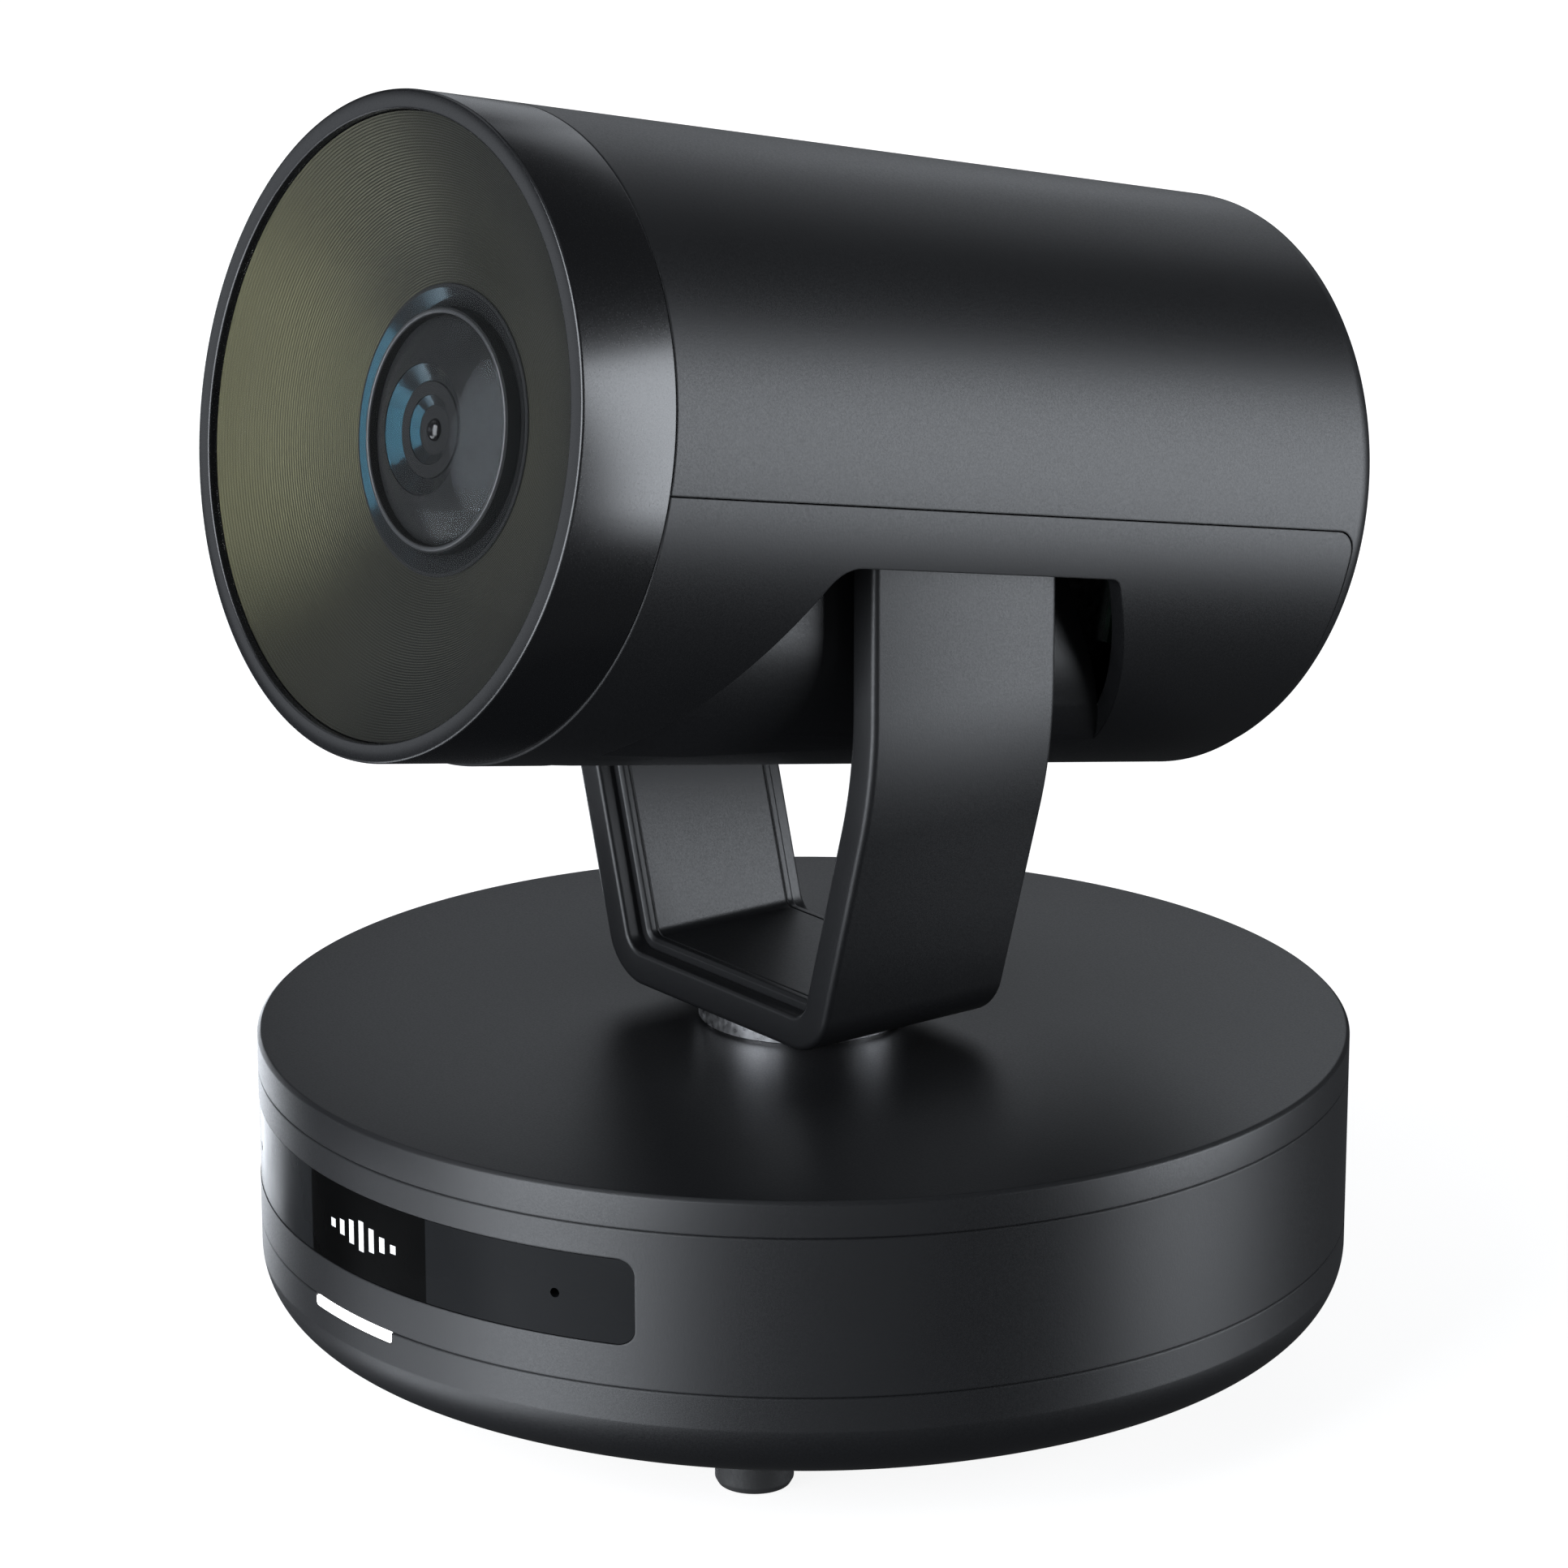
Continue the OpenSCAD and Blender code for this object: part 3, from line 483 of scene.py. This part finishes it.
def front_outline(half, z0, z1, corner):
    """A rounded rectangle in (x, z), seen from the front."""
    low_left, low_right = (-half, z0, corner), (half, z0, corner)
    high_left, high_right = (-half, z1, corner), (half, z1, corner)
    return rounded([low_left, low_right, high_right, high_left], 8)


def four_corners(at):
    """The corners of a square about the middle."""
    return [(x, y) for x in (-at, at) for y in (-at, at)]


def wall_strip(name, outer_r, thick, low_z, high_z):
    """A ring that follows the base's wall, for a shape to be cut from, and 1 mm taller each way."""
    inner_r, low, high = outer_r - thick, low_z - 1, high_z + 1
    outline = [(inner_r, low), (outer_r, low), (outer_r, high), (inner_r, high)]
    return lathe(name, outline, segments=360)


def window_cutter(name, grow):
    """The window seen from the front, larger all round by some growth."""
    half, corner = window_high.x + grow, 2 + grow
    outline = front_outline(half, window_low.z - grow, window_high.z + grow, corner)
    return prism(name, outline, -cut_far, -cut_near, "Y")


def make_lid():
    """The lid, with a rim that drops inside the wall and a hole for the spindle."""
    hole_r, thick, chamfer = 13.5, 2.2, 0.5
    rim_outer, rim_inner, rim_z = wall_inner_r - 0.1, wall_inner_r - 2, seam_high - 2
    under = lid_top - thick
    outline = rounded([
        (hole_r, under), (rim_inner, under), (rim_inner, rim_z), (rim_outer, rim_z),
        (rim_outer, seam_high), (base_r - seam_edge, seam_high), (base_r, seam_high + seam_edge),
        (base_r, lid_top - chamfer, 0.15), (base_r - chamfer, lid_top, 0.15), (hole_r, lid_top, 0.3),
    ], 3)
    lid = lathe("lid", outline, segments=360)
    settle(lid, "base", ["base_lid"], shell)


def make_wall():
    """The straight wall, with the window's opening and the rear recess."""
    window_gap, recess_gap, recess_corner = 0.12, 0.05, 0.4
    outline = [
        (wall_inner_r, seam_low), (base_r - seam_edge, seam_low), (base_r, seam_low + seam_edge),
        (base_r, seam_high - seam_edge), (base_r - seam_edge, seam_high), (wall_inner_r, seam_high),
    ]
    wall = lathe("wall_ring", outline, segments=360)
    combine(wall, window_cutter("window_hole", window_gap), "DIFFERENCE")
    half, top = panel_high.x + recess_gap, panel_high.z + recess_gap
    recess = front_outline(half, panel_low.z, top, recess_corner)
    combine(wall, prism("rear_hole", recess, cut_near, cut_far, "Y"), "DIFFERENCE")
    true_normals(wall, upright_round)
    settle(wall, "base", ["base_wall_ring"], shell)


def base_outline(inset, steps):
    """The underside's outline from the middle out to the straight wall, moved inwards."""
    turn_r, turn_deg, sweep_r = 9, 64, 75
    turn = math.radians(turn_deg)
    turn_x = base_r - turn_r
    turn_z = belly_z + sweep_r - (sweep_r - turn_r) * math.sin(turn)
    sweep_x = turn_x - (sweep_r - turn_r) * math.cos(turn)
    sweep = arc(sweep_x, belly_z + sweep_r, sweep_r - inset, -90, -turn_deg, steps)
    return [(0, belly_z + inset)] + sweep + arc(turn_x, turn_z, turn_r - inset, -turn_deg, 0, steps)[1:]


def bore(obj, x, y, radius, top, segments=64):
    """Cuts an upright hole from under the base to a height that clears the shell."""
    below = -1
    hole = lathe("bore", [(0, below), (radius, below), (radius, top), (0, top)], segments=segments)
    combine(obj, move(hole, x, y), "DIFFERENCE")


def make_bottom():
    """The curved bottom shell, with its notch for the light and its holes underneath."""
    foot_hole_r, screw_hole_r, tripod_hole_r = 5.4, 3.1, 5
    screw_circle_r = 62
    light_gap, light_corner = 0.05, 0.5
    outer = base_outline(0, 24)
    inner = base_outline(base_wall, 12)
    seam = [(base_r, seam_low - seam_edge), (base_r - seam_edge, seam_low), (wall_inner_r, seam_low)]
    bottom = lathe("bottom_shell", outer + seam + inner[::-1], segments=360)
    notch = front_outline(light_high.x, light_low.z - light_gap, seam_low + 3, light_corner)
    combine(bottom, prism("light_notch", notch, -cut_far, -cut_near, "Y"), "DIFFERENCE")
    for x, y in four_corners(foot_at):
        bore(bottom, x, y, foot_hole_r, 9)
    for x, y in four_corners(screw_circle_r * math.sqrt(0.5)):
        bore(bottom, x, y, screw_hole_r, 14, 48)
    bore(bottom, 0, 0, tripod_hole_r, 13)
    true_normals(bottom, upright_round)
    settle(bottom, "base", ["base_bottom_shell"], shell)


def make_window():
    """The curved window with its microphone holes, and what the display behind it shows."""
    outer_r, thick = base_r - 0.1, 2
    mic_r, mic_deg, mic_near, mic_far = 0.65, 27.6, 60, 90
    window = wall_strip("window", outer_r, thick, window_low.z, window_high.z)
    combine(window, window_cutter("window_shape", 0), "INTERSECT")
    mid_z = (window_low.z + window_high.z) / 2
    for side in (-1, 1):
        outline = [(0, mic_near), (mic_r, mic_near), (mic_r, mic_far), (0, mic_far)]
        hole = lathe("mic_hole", outline, "Y", segments=32)
        hole.data.transform(Matrix.Rotation(math.radians(180 + side * mic_deg), 4, "Z"))
        combine(window, move(hole, 0, 0, mid_z), "DIFFERENCE")
    true_normals(window, upright_round)
    settle(window, "base", ["front_window", "display_panel"], smoked)
    make_level_meter(outer_r, mid_z)


def wall_bar(name, inner_r, outer_r, middle, half, low_z, high_z):
    """An upright bar that follows the wall, between two angles round from the front."""
    steps = 4
    row = 2 * (steps + 1)
    points, faces = [], []
    for radius in (inner_r, outer_r):
        for i in range(steps + 1):
            a = math.radians(middle + half * (2 * i / steps - 1))
            for z in (low_z, high_z):
                points.append((radius * math.sin(a), -radius * math.cos(a), z))
    for start in (0, row):
        for b in range(start, start + 2 * steps, 2):
            faces.append((b, b + 1, b + 3, b + 2))
    rim = list(range(0, row, 2)) + list(range(row - 1, 0, -2))
    for i, a in enumerate(rim):
        b = rim[(i + 1) % len(rim)]
        faces.append((a, b, b + row, a + row))
    return add_mesh(name, points, faces)


def make_level_meter(wall_r, mid_z):
    """A row of bars that the display shows, like a sound level."""
    shares = [0.28, 0.5, 0.78, 1.0, 0.78, 0.5, 0.28]
    tall, pitch_deg, half_deg = 4.2, 1.7, 0.4
    sunk, proud = 0.3, 0.03
    centre = math.degrees(math.asin((display_low.x + display_high.x) / 2 / wall_r))
    for k, share in enumerate(shares):
        middle = centre + (k - len(shares) // 2) * pitch_deg
        reach = tall * share / 2
        bar = wall_bar(f"display_bar_{k + 1}", wall_r - sunk, wall_r + proud, middle, half_deg,
                       mid_z - reach, mid_z + reach)
        settle(bar, "base", [], segment)


def make_light():
    """The light bar in the lower seam."""
    outer_r, thick = base_r - 0.02, 3
    gap, foot_gap, corner = 0.1, 0.05, 0.5
    bar = wall_strip("light_bar", outer_r, thick, light_low.z, light_high.z)
    shape = front_outline(light_high.x - gap, light_low.z + foot_gap, light_high.z - gap, corner)
    combine(bar, prism("light_shape", shape, -cut_far, -cut_near, "Y"), "INTERSECT")
    true_normals(bar, upright_round)
    settle(bar, "base", ["status_light"], lamp)


def make_feet():
    """Four rubber feet, blunt underneath."""
    top = feet_high.z
    outline = rounded([(0, 0), (foot_r - 0.5, 0, 0.4), (foot_r, 0.9, 0.6), (foot_r, top), (0, top)], 4)
    for k, (x, y) in enumerate(four_corners(foot_at)):
        foot = move(lathe(f"foot_{k + 1}", outline, segments=96), x, y)
        settle(foot, "base", ["rubber_feet"] if k == 0 else [], rubber)


# ---------- yoke ----------

arm_x = yoke_high.x
arm_half = yoke_high.y
arm_thick = 4.8


def yoke_side():
    """The band's outer face on one side from the top down, as points with their outward normals."""
    lean, bend_r, corner_r = math.radians(16.3), 65, 8
    bend_z = lid_top + 52.7
    corner_z = yoke_low.z + corner_r
    end_x = arm_x - bend_r * (1 - math.cos(lean))
    end_z = bend_z - bend_r * math.sin(lean)
    corner_x = end_x - (end_z - corner_z) * math.tan(lean) - corner_r / math.cos(lean)
    out = []

    def add_bend(cx, cz, r, start, end, steps=16):
        for k in range(steps + 1):
            a = start + (end - start) * k / steps
            normal = (math.cos(a), math.sin(a))
            out.append(((cx + r * normal[0], cz + r * normal[1]), normal))

    top_shares = (0.995, 0.95, 0.85, 0.7, 0.5, 0.25, 0)
    for share in top_shares:
        out.append(((arm_x, pivot_z + arm_half * share), (1, 0)))
    upright_steps = 13
    for k in range(1, upright_steps):
        out.append(((arm_x, pivot_z + (bend_z - pivot_z) * k / upright_steps), (1, 0)))
    add_bend(arm_x - bend_r, bend_z, bend_r, 0, -lean)
    add_bend(corner_x, corner_z, corner_r, -lean, -math.pi / 2)
    return out


def sweep_band(name, section, half_at, top_z=math.inf):
    """Sweeps a (depth, across) section round the yoke's U, below a height.

    half_at gives the half width that the band may have at a height.
    """
    side = [s for s in yoke_side() if s[0][1] <= top_z + 0.01]
    path = side + [((-x, z), (-nx, nz)) for (x, z), (nx, nz) in side[::-1]]
    points, faces = [], []
    count = len(section)
    for (x, z), (nx, nz) in path:
        half = half_at(z)
        for depth, across in section:
            y = max(-half, min(half, across))
            points.append((x - nx * depth, y, z - nz * depth))
    for i in range(len(path) - 1):
        for k in range(count):
            n = (k + 1) % count
            faces.append((i * count + k, (i + 1) * count + k, (i + 1) * count + n, i * count + n))
    last = (len(path) - 1) * count
    faces.append(tuple(range(count)))
    faces.append(tuple(range(last, last + count)))
    return add_mesh(name, points, faces)


def make_yoke():
    """The bent band, whose arms end in half circles about the tilt axis."""
    outer_edge, inner_edge = 0.9, 0.6
    section = rounded([
        (0, -arm_half, outer_edge), (arm_thick, -arm_half, inner_edge),
        (arm_thick, arm_half, inner_edge), (0, arm_half, outer_edge),
    ], 5)

    def half_at(z):
        rise = max(0.0, z - pivot_z)
        return math.sqrt(max(0.5, arm_half ** 2 - rise ** 2))

    band = sweep_band("yoke_band", section, half_at)
    settle(band, "pan_yoke", ["yoke"], shell)


def make_lining():
    """The raised cover over the band's inside, with a fine groove along each edge."""
    half, edge, edge_r = lining_high.y, 0.5, 0.2
    under, face = arm_thick + 0.02, arm_thick + 1.6
    groove_y, groove_half, groove_deep = half - 1.5, 0.2, 0.22
    section = rounded([
        (under, -half), (face - edge, -half, edge_r), (face, edge - half, edge_r),
        (face, -groove_y - groove_half), (face - groove_deep, -groove_y), (face, groove_half - groove_y),
        (face, groove_y - groove_half), (face - groove_deep, groove_y), (face, groove_y + groove_half),
        (face, half - edge, edge_r), (face - edge, half, edge_r), (under, half),
    ], 3)
    lining = sweep_band("yoke_lining", section, lambda z: half, lining_high.z)
    settle(lining, "pan_yoke", ["yoke_inner_cover"], shell)


# ---------- head ----------

head_wall = 2.2
cap_wall = 2.4
cap_edge = 3.5

# Height of the line where the shells meet, and half the gap there.
split_z = -0.5
parting = 0.09

# The lower shell's round axis lies this much lower than the upper shell's.
drop = 0.4

# Cutting shapes run further than the head reaches, across it and along it.
past_side = 60
past_end = 75


def cup_outline(wall):
    """The tube's outline in (radius, y) behind the front ring, solid where it has no wall."""
    end_r = head_radius(rear_y)
    outline = rounded([
        (head_radius(ring_back) - seam_edge, ring_back),
        (head_radius(ring_back + seam_edge), ring_back + seam_edge),
        (end_r, rear_y, cap_edge), (0, rear_y),
    ], 8)
    if not wall:
        return outline + [(0, ring_back)]
    inside = rear_y - cap_wall
    return outline + [(0, inside), (end_r - wall, inside), (head_radius(ring_back) - wall, ring_back)]


def lower_share(grow):
    """The lower shell's share of the head, seen from the side."""
    top, end, corner = split_z + grow, rear_y - cap_edge + grow, 3
    outline = rounded([(-past_end, -past_side), (-past_end, top), (end, top, corner), (end, -past_side)], 8)
    return prism("lower_share", outline, -past_side, past_side, "X", HEAD)


def arm_slots():
    """The slots for the yoke's arms, seen from the side, wider towards the belly."""
    top, low, middle_half = -8.6, -55, 15.9
    front_corner, rear_corner = 5.5, 2
    slant = math.radians(31)

    def half_at(z):
        return (middle_half - z * math.sin(slant)) / math.cos(slant)

    outline = rounded([
        (-half_at(low), low), (-half_at(top), top, front_corner),
        (half_at(top), top, rear_corner), (half_at(low), low),
    ], 8)
    return prism("arm_slots", outline, -past_side, past_side, "X", HEAD)


def core(inset):
    """The body between the slots: upright cheeks that round into the belly."""
    half, corner, top, front = 28.7, 22, 20, -38
    belly = head_radius(front)
    cx = half - corner
    cz = -drop - math.sqrt((belly - corner) ** 2 - cx ** 2)
    blend = math.degrees(math.atan2(cz + drop, cx))
    turn = arc(cx, cz, corner - inset, 0, blend, 12)
    sweep = arc(0, -drop, belly - inset, blend, -90, 8)
    side = [(half - inset, top)] + turn + sweep[1:]
    outline = side + [(-x, z) for x, z in side[::-1][1:]]
    return prism("core", outline, -past_end, past_end, "Y", HEAD)


def make_upper_shell():
    """The upper shell, which carries the round rear cap."""
    upper = lathe("head_top", cup_outline(head_wall), "Y", HEAD, 320)
    combine(upper, lower_share(parting), "DIFFERENCE")
    true_normals(upper, head_cone())
    settle(upper, "head", ["head_upper_shell"], shell)


def make_lower_shell():
    """The lower shell, with a slot each side for an arm and a cheek that closes it inside."""
    cheek_wall = 1.8
    lowered = HEAD @ Matrix.Translation((0, 0, -drop * MM))
    lower = lathe("head_bottom", cup_outline(head_wall), "Y", lowered, 320)
    combine(lower, lower_share(-parting), "INTERSECT")
    slots = arm_slots()
    combine(slots, core(0), "DIFFERENCE")
    combine(lower, slots, "DIFFERENCE")
    cheeks = lathe("cheeks", cup_outline(0), "Y", lowered, 320)
    combine(cheeks, arm_slots(), "INTERSECT")
    combine(cheeks, core(0), "INTERSECT")
    combine(cheeks, core(cheek_wall), "DIFFERENCE")
    combine(lower, cheeks, "UNION")
    true_normals(lower, head_cone(drop))
    settle(lower, "head", ["head_lower_shell"], shell)


def make_ring():
    """The glossy front ring, which holds the cover glass and slips over the shells."""
    gap, skirt = 0.05, 6
    mouth_edge, rim_edge = 0.25, 0.35
    mouth_r, hole_r, ledge_y = glass_high.x + gap, baffle_r + gap, glass_high.y
    back_r = head_radius(ring_back)
    skirt_r, skirt_y = back_r - head_wall, ring_back + skirt
    outline = rounded([
        (mouth_r, ledge_y), (mouth_r, front_y, mouth_edge), (front_r, front_y, rim_edge),
        (head_radius(ring_back - seam_edge), ring_back - seam_edge), (back_r - seam_edge, ring_back),
        (skirt_r, ring_back), (skirt_r, skirt_y), (hole_r, skirt_y), (hole_r, ledge_y),
    ], 4)
    ring = lathe("front_bezel", outline, "Y", HEAD, 360)
    settle(ring, "head", ["front_ring"], satin)


# ---------- glass, baffle and lens ----------

lens_r = lens_high.x
lens_curve = 26
lens_edge_y = barrel_low.y
mount_r = barrel_high.x
mount_y = barrel_low.y + 1
coated_slope = math.tan(math.radians(27))


def make_cover_glass():
    """The flat glass in the ring, drawn thin."""
    thick, edge = 0.5, 0.15
    r, front, rear = glass_high.x, glass_low.y, glass_low.y + thick
    outline = rounded([(0, front), (r, front, edge), (r, rear, edge), (0, rear)], 3)
    glass = lathe("cover_glass", outline, "Y", HEAD)
    settle(glass, "head", ["front_glass"], cover_glass)


def make_baffle():
    """The bowed cone between the rim and the lens, with fine rounded ridges."""
    ridges, steps, depth, bow = 62, 6, 0.026, 1.4
    thick, lip_front, lip_rear = 1.6, 1.2, 2.6
    outer_r, outer_y = glass_high.x - 0.1, glass_low.y + 0.75
    inner_r, inner_y = mount_r, mount_y
    outline = []
    for k in range(ridges * steps + 1):
        t = k / (ridges * steps)
        r = outer_r + (inner_r - outer_r) * t
        y = outer_y + (inner_y - outer_y) * t + bow * math.sin(math.pi * t)
        outline.append((r, y - depth * math.cos(2 * math.pi * k / steps)))
    outline += [
        (inner_r, inner_y + thick), (baffle_r, outer_y + lip_rear),
        (baffle_r, outer_y + lip_front), (outer_r, outer_y + lip_front - 0.1),
    ]
    cone = lathe("ridged_baffle", outline, "Y", HEAD)
    cone.data.set_sharp_from_angle(angle=math.radians(80))
    settle(cone, "head", ["baffle"], ridged)


def dome_y(r):
    """Where the front lens's domed face lies at a radius."""
    rim = math.sqrt(lens_curve ** 2 - lens_r ** 2)
    return lens_edge_y + rim - math.sqrt(lens_curve ** 2 - r ** 2)


def coated_ring(name, outer_r, inner_r, outer_y):
    """A thin hollow cone that carries the lenses' blue-green coating."""
    thick = 0.08
    inner_y = outer_y + (outer_r - inner_r) * coated_slope
    outline = [
        (outer_r, outer_y), (inner_r, inner_y), (inner_r, inner_y + thick), (outer_r, outer_y + thick),
    ]
    ring = lathe(name, outline, "Y", HEAD, 180)
    settle(ring, "head", [], teal)


def make_mount():
    """The lens's mount, with a groove for a coated ring and a bead round the glass."""
    gap, face_in = 0.05, 0.5
    face_y = mount_y - 0.3
    hole_r = lens_r - 1.5
    step_y = lens_edge_y - 0.1
    groove_r = lens_r + 0.9
    groove_y = face_y + (mount_r - face_in - groove_r) * coated_slope
    outline = rounded([
        (lens_r + gap, lens_high.y), (lens_r + gap, step_y), (groove_r, step_y, 0.1),
        (groove_r, groove_y), (mount_r - face_in, face_y, 0.1), (mount_r, face_y, 0.2),
        (mount_r, barrel_high.y), (hole_r, barrel_high.y), (hole_r, lens_high.y),
    ], 3)
    mount = lathe("lens_mount", outline, "Y", HEAD, 200)
    settle(mount, "head", ["lens_barrel"], lens_black)
    bead_r, bead_at = 0.32, lens_r + 0.4
    bead = lathe("lens_line", arc(bead_at, lens_edge_y - gap, bead_r, 0, 345, 23), "Y", HEAD, 200)
    settle(bead, "head", [], lens_grey)
    coated_ring("coating_outer", mount_r - face_in - gap, groove_r + gap, face_y - gap)


def make_front_element():
    """The bowed front lens, as a thin shell of glass."""
    steps, thick = 24, 0.8
    radii = [lens_r * k / steps for k in range(steps + 1)]
    front = [(r, dome_y(r)) for r in radii]
    rear = [(r, y + thick) for r, y in front[::-1]]
    lens = lathe("front_element", front + rear, "Y", HEAD, 180)
    settle(lens, "head", ["front_lens"], lens_coat)


def make_cell():
    """What shows through the front lens: a bowed hood, coated rings, the iris and a rear lens."""
    hood_r, stage_r, throat_r, iris_r = 8.5, 6.3, 4.5, 1.5
    hood_gap, stage_deep, stage_tall, step = 1.1, 1.3, 1.2, 0.2
    back_y = lens_edge_y + 4
    hood_radii = (lens_r, 13.6, 12.2, 11.0, 9.8, hood_r)
    hood = [(r, dome_y(r) + hood_gap) for r in hood_radii]
    cell = lathe("lens_hood", hood + [(hood_r, back_y), (lens_r, back_y)], "Y", HEAD, 180)
    settle(cell, "head", ["inner_lens_cell"], lens_black)
    hood_y = hood[-1][1]
    coated_ring("coating_middle", hood_r - 0.05, stage_r, hood_y + 0.1)

    stage_y = hood_y + stage_deep
    face_y = stage_y - step
    outline = [
        (stage_r + step, face_y + stage_tall), (stage_r - 0.1, face_y),
        (throat_r, face_y), (throat_r, face_y + stage_tall),
    ]
    stage = lathe("lens_stage", outline, "Y", HEAD, 160)
    settle(stage, "head", [], lens_black)
    coated_ring("coating_inner", throat_r - 0.05, 3.2, stage_y - 0.1)

    iris_outer, iris_y = throat_r - 0.1, stage_y + 0.6
    outline = [(iris_outer, iris_y), (iris_outer, back_y), (iris_r, back_y), (iris_r, iris_y)]
    iris = lathe("iris_ring", outline, "Y", HEAD, 120)
    settle(iris, "head", ["iris"], lens_black)

    bulge, bulge_y, steps = iris_r * 0.7, stage_y + 0.8, 14
    angles = [math.radians(84 * k / steps) for k in range(steps + 1)]
    dome = [(iris_r * math.sin(a), bulge_y - bulge * math.cos(a)) for a in angles]
    foot_y = back_y - step
    rear = lathe("rear_element", dome + [(iris_r - 0.1, foot_y), (0, foot_y)], "Y", HEAD, 96)
    settle(rear, "head", ["inner_lens"], pupil)


# ---------- studio ----------


def make_camera():
    """The photograph's viewpoint: long lens, a little above, from the camera's front left."""
    distance, azimuth, elevation = 784.0, 52.73, 16.11
    target = Vector((-1.62, -2.12, 82.23)) * MM
    a, e = math.radians(azimuth), math.radians(elevation)
    back = Vector((math.sin(a) * math.cos(e), -math.cos(a) * math.cos(e), math.sin(e)))
    data = bpy.data.cameras.new("view")
    data.lens = 131.44
    data.sensor_width = 36
    data.clip_start = 0.05
    data.clip_end = 50
    camera = bpy.data.objects.new("view", data)
    camera.location = target + back * distance * MM
    camera.rotation_mode = "QUATERNION"
    camera.rotation_quaternion = (-back).to_track_quat("-Z", "Y")
    bpy.context.scene.collection.objects.link(camera)
    bpy.context.scene.camera = camera


def add_light(name, azimuth, elevation, wide, tall, radiance):
    """A soft box seen from the object in a direction, with its width and height as angles.

    Azimuth 0 is +X and 90 is +Y; the radiance is what a perfect mirror would show.
    """
    distance, aim = 1.1, Vector((0, 0, 0.09))
    a, e = math.radians(azimuth), math.radians(elevation)
    away = Vector((math.cos(a) * math.cos(e), math.sin(a) * math.cos(e), math.sin(e)))
    data = bpy.data.lights.new(name, "AREA")
    data.shape = "RECTANGLE"
    data.size = 2 * distance * math.tan(math.radians(wide / 2))
    data.size_y = 2 * distance * math.tan(math.radians(tall / 2))
    data.energy = radiance * math.pi * data.size * data.size_y
    data.color = (0.95, 1.0, 1.07)
    light = bpy.data.objects.new(name, data)
    light.location = aim + away * distance
    light.rotation_mode = "QUATERNION"
    light.rotation_quaternion = (-away).to_track_quat("-Z", "Y")
    light.visible_camera = False
    bpy.context.scene.collection.objects.link(light)


def make_studio():
    """Soft boxes in a dim room, whose background the camera sees as white."""
    add_light("front_box", -86, 10, 42, 74, 6.2)
    add_light("low_front_box", -118, -35, 46, 18, 3.4)
    add_light("left_fill", -139, 4, 34, 14, 0.6)
    add_light("camera_fill", -37, -16, 50, 30, 0.3)
    add_light("side_box", 45, 4, 36, 44, 5.5)
    add_light("side_low_box", 41, -20, 24, 8, 2.4)
    add_light("back_left_box", 172, -10, 24, 26, 4.6)
    add_light("back_high_box", 141, 20, 26, 22, 0.55)
    add_light("top_edge_box", 119, 28, 26, 26, 0.6)
    add_light("rear_fill", -165, 50, 40, 30, 0.5)
    add_light("top_fill", 0, 85, 40, 40, 0.2)
    world = bpy.data.worlds.new("studio")
    world.use_nodes = True
    nodes, links = world.node_tree.nodes, world.node_tree.links
    room = nodes["Background"]
    room.inputs["Color"].default_value = (0.04, 0.041, 0.043, 1)
    sky = nodes.new("ShaderNodeBackground")
    sky.inputs["Color"].default_value = (1, 1, 1, 1)
    path = nodes.new("ShaderNodeLightPath")
    mix = nodes.new("ShaderNodeMixShader")
    links.new(path.outputs["Is Camera Ray"], mix.inputs["Fac"])
    links.new(room.outputs["Background"], mix.inputs[1])
    links.new(sky.outputs["Background"], mix.inputs[2])
    links.new(mix.outputs["Shader"], nodes["World Output"].inputs["Surface"])
    bpy.context.scene.world = world
    bpy.context.scene.view_settings.view_transform = "Standard"


def make_floor():
    """A pale floor that brightens to white further out, and that the object doesn't mirror."""
    half, sunk = 3000, 0.05
    near, far = 0.1, 0.7
    corners = [(-half, -half, -sunk), (half, -half, -sunk), (half, half, -sunk), (-half, half, -sunk)]
    floor = add_mesh("floor", corners, [(0, 1, 2, 3)])
    made = Shader("pale_floor", Roughness=0.9)
    pale = made.ramp(made.noise(3, 2), [(0.3, (0.3, 0.3, 0.3)), (0.7, (0.31, 0.31, 0.31))])
    made.into(pale, "Base Color").into(pale, "Emission Color")
    reach = made.nodes.new("ShaderNodeVectorMath")
    reach.operation = "LENGTH"
    made.links.new(made.coords, reach.inputs[0])
    made.into(made.ranged(reach.outputs["Value"], 2.9, 3.5, near, far), "Emission Strength")
    floor.data.materials.append(made.material)
    floor.visible_glossy = False
    floor.visible_diffuse = False
    floor.visible_shadow = False


make_camera()
make_studio()
make_floor()
dress_frame()
make_lid()
make_wall()
make_bottom()
make_window()
make_light()
make_feet()
make_yoke()
make_lining()
make_upper_shell()
make_lower_shell()
make_ring()
make_cover_glass()
make_baffle()
make_mount()
make_front_element()
make_cell()
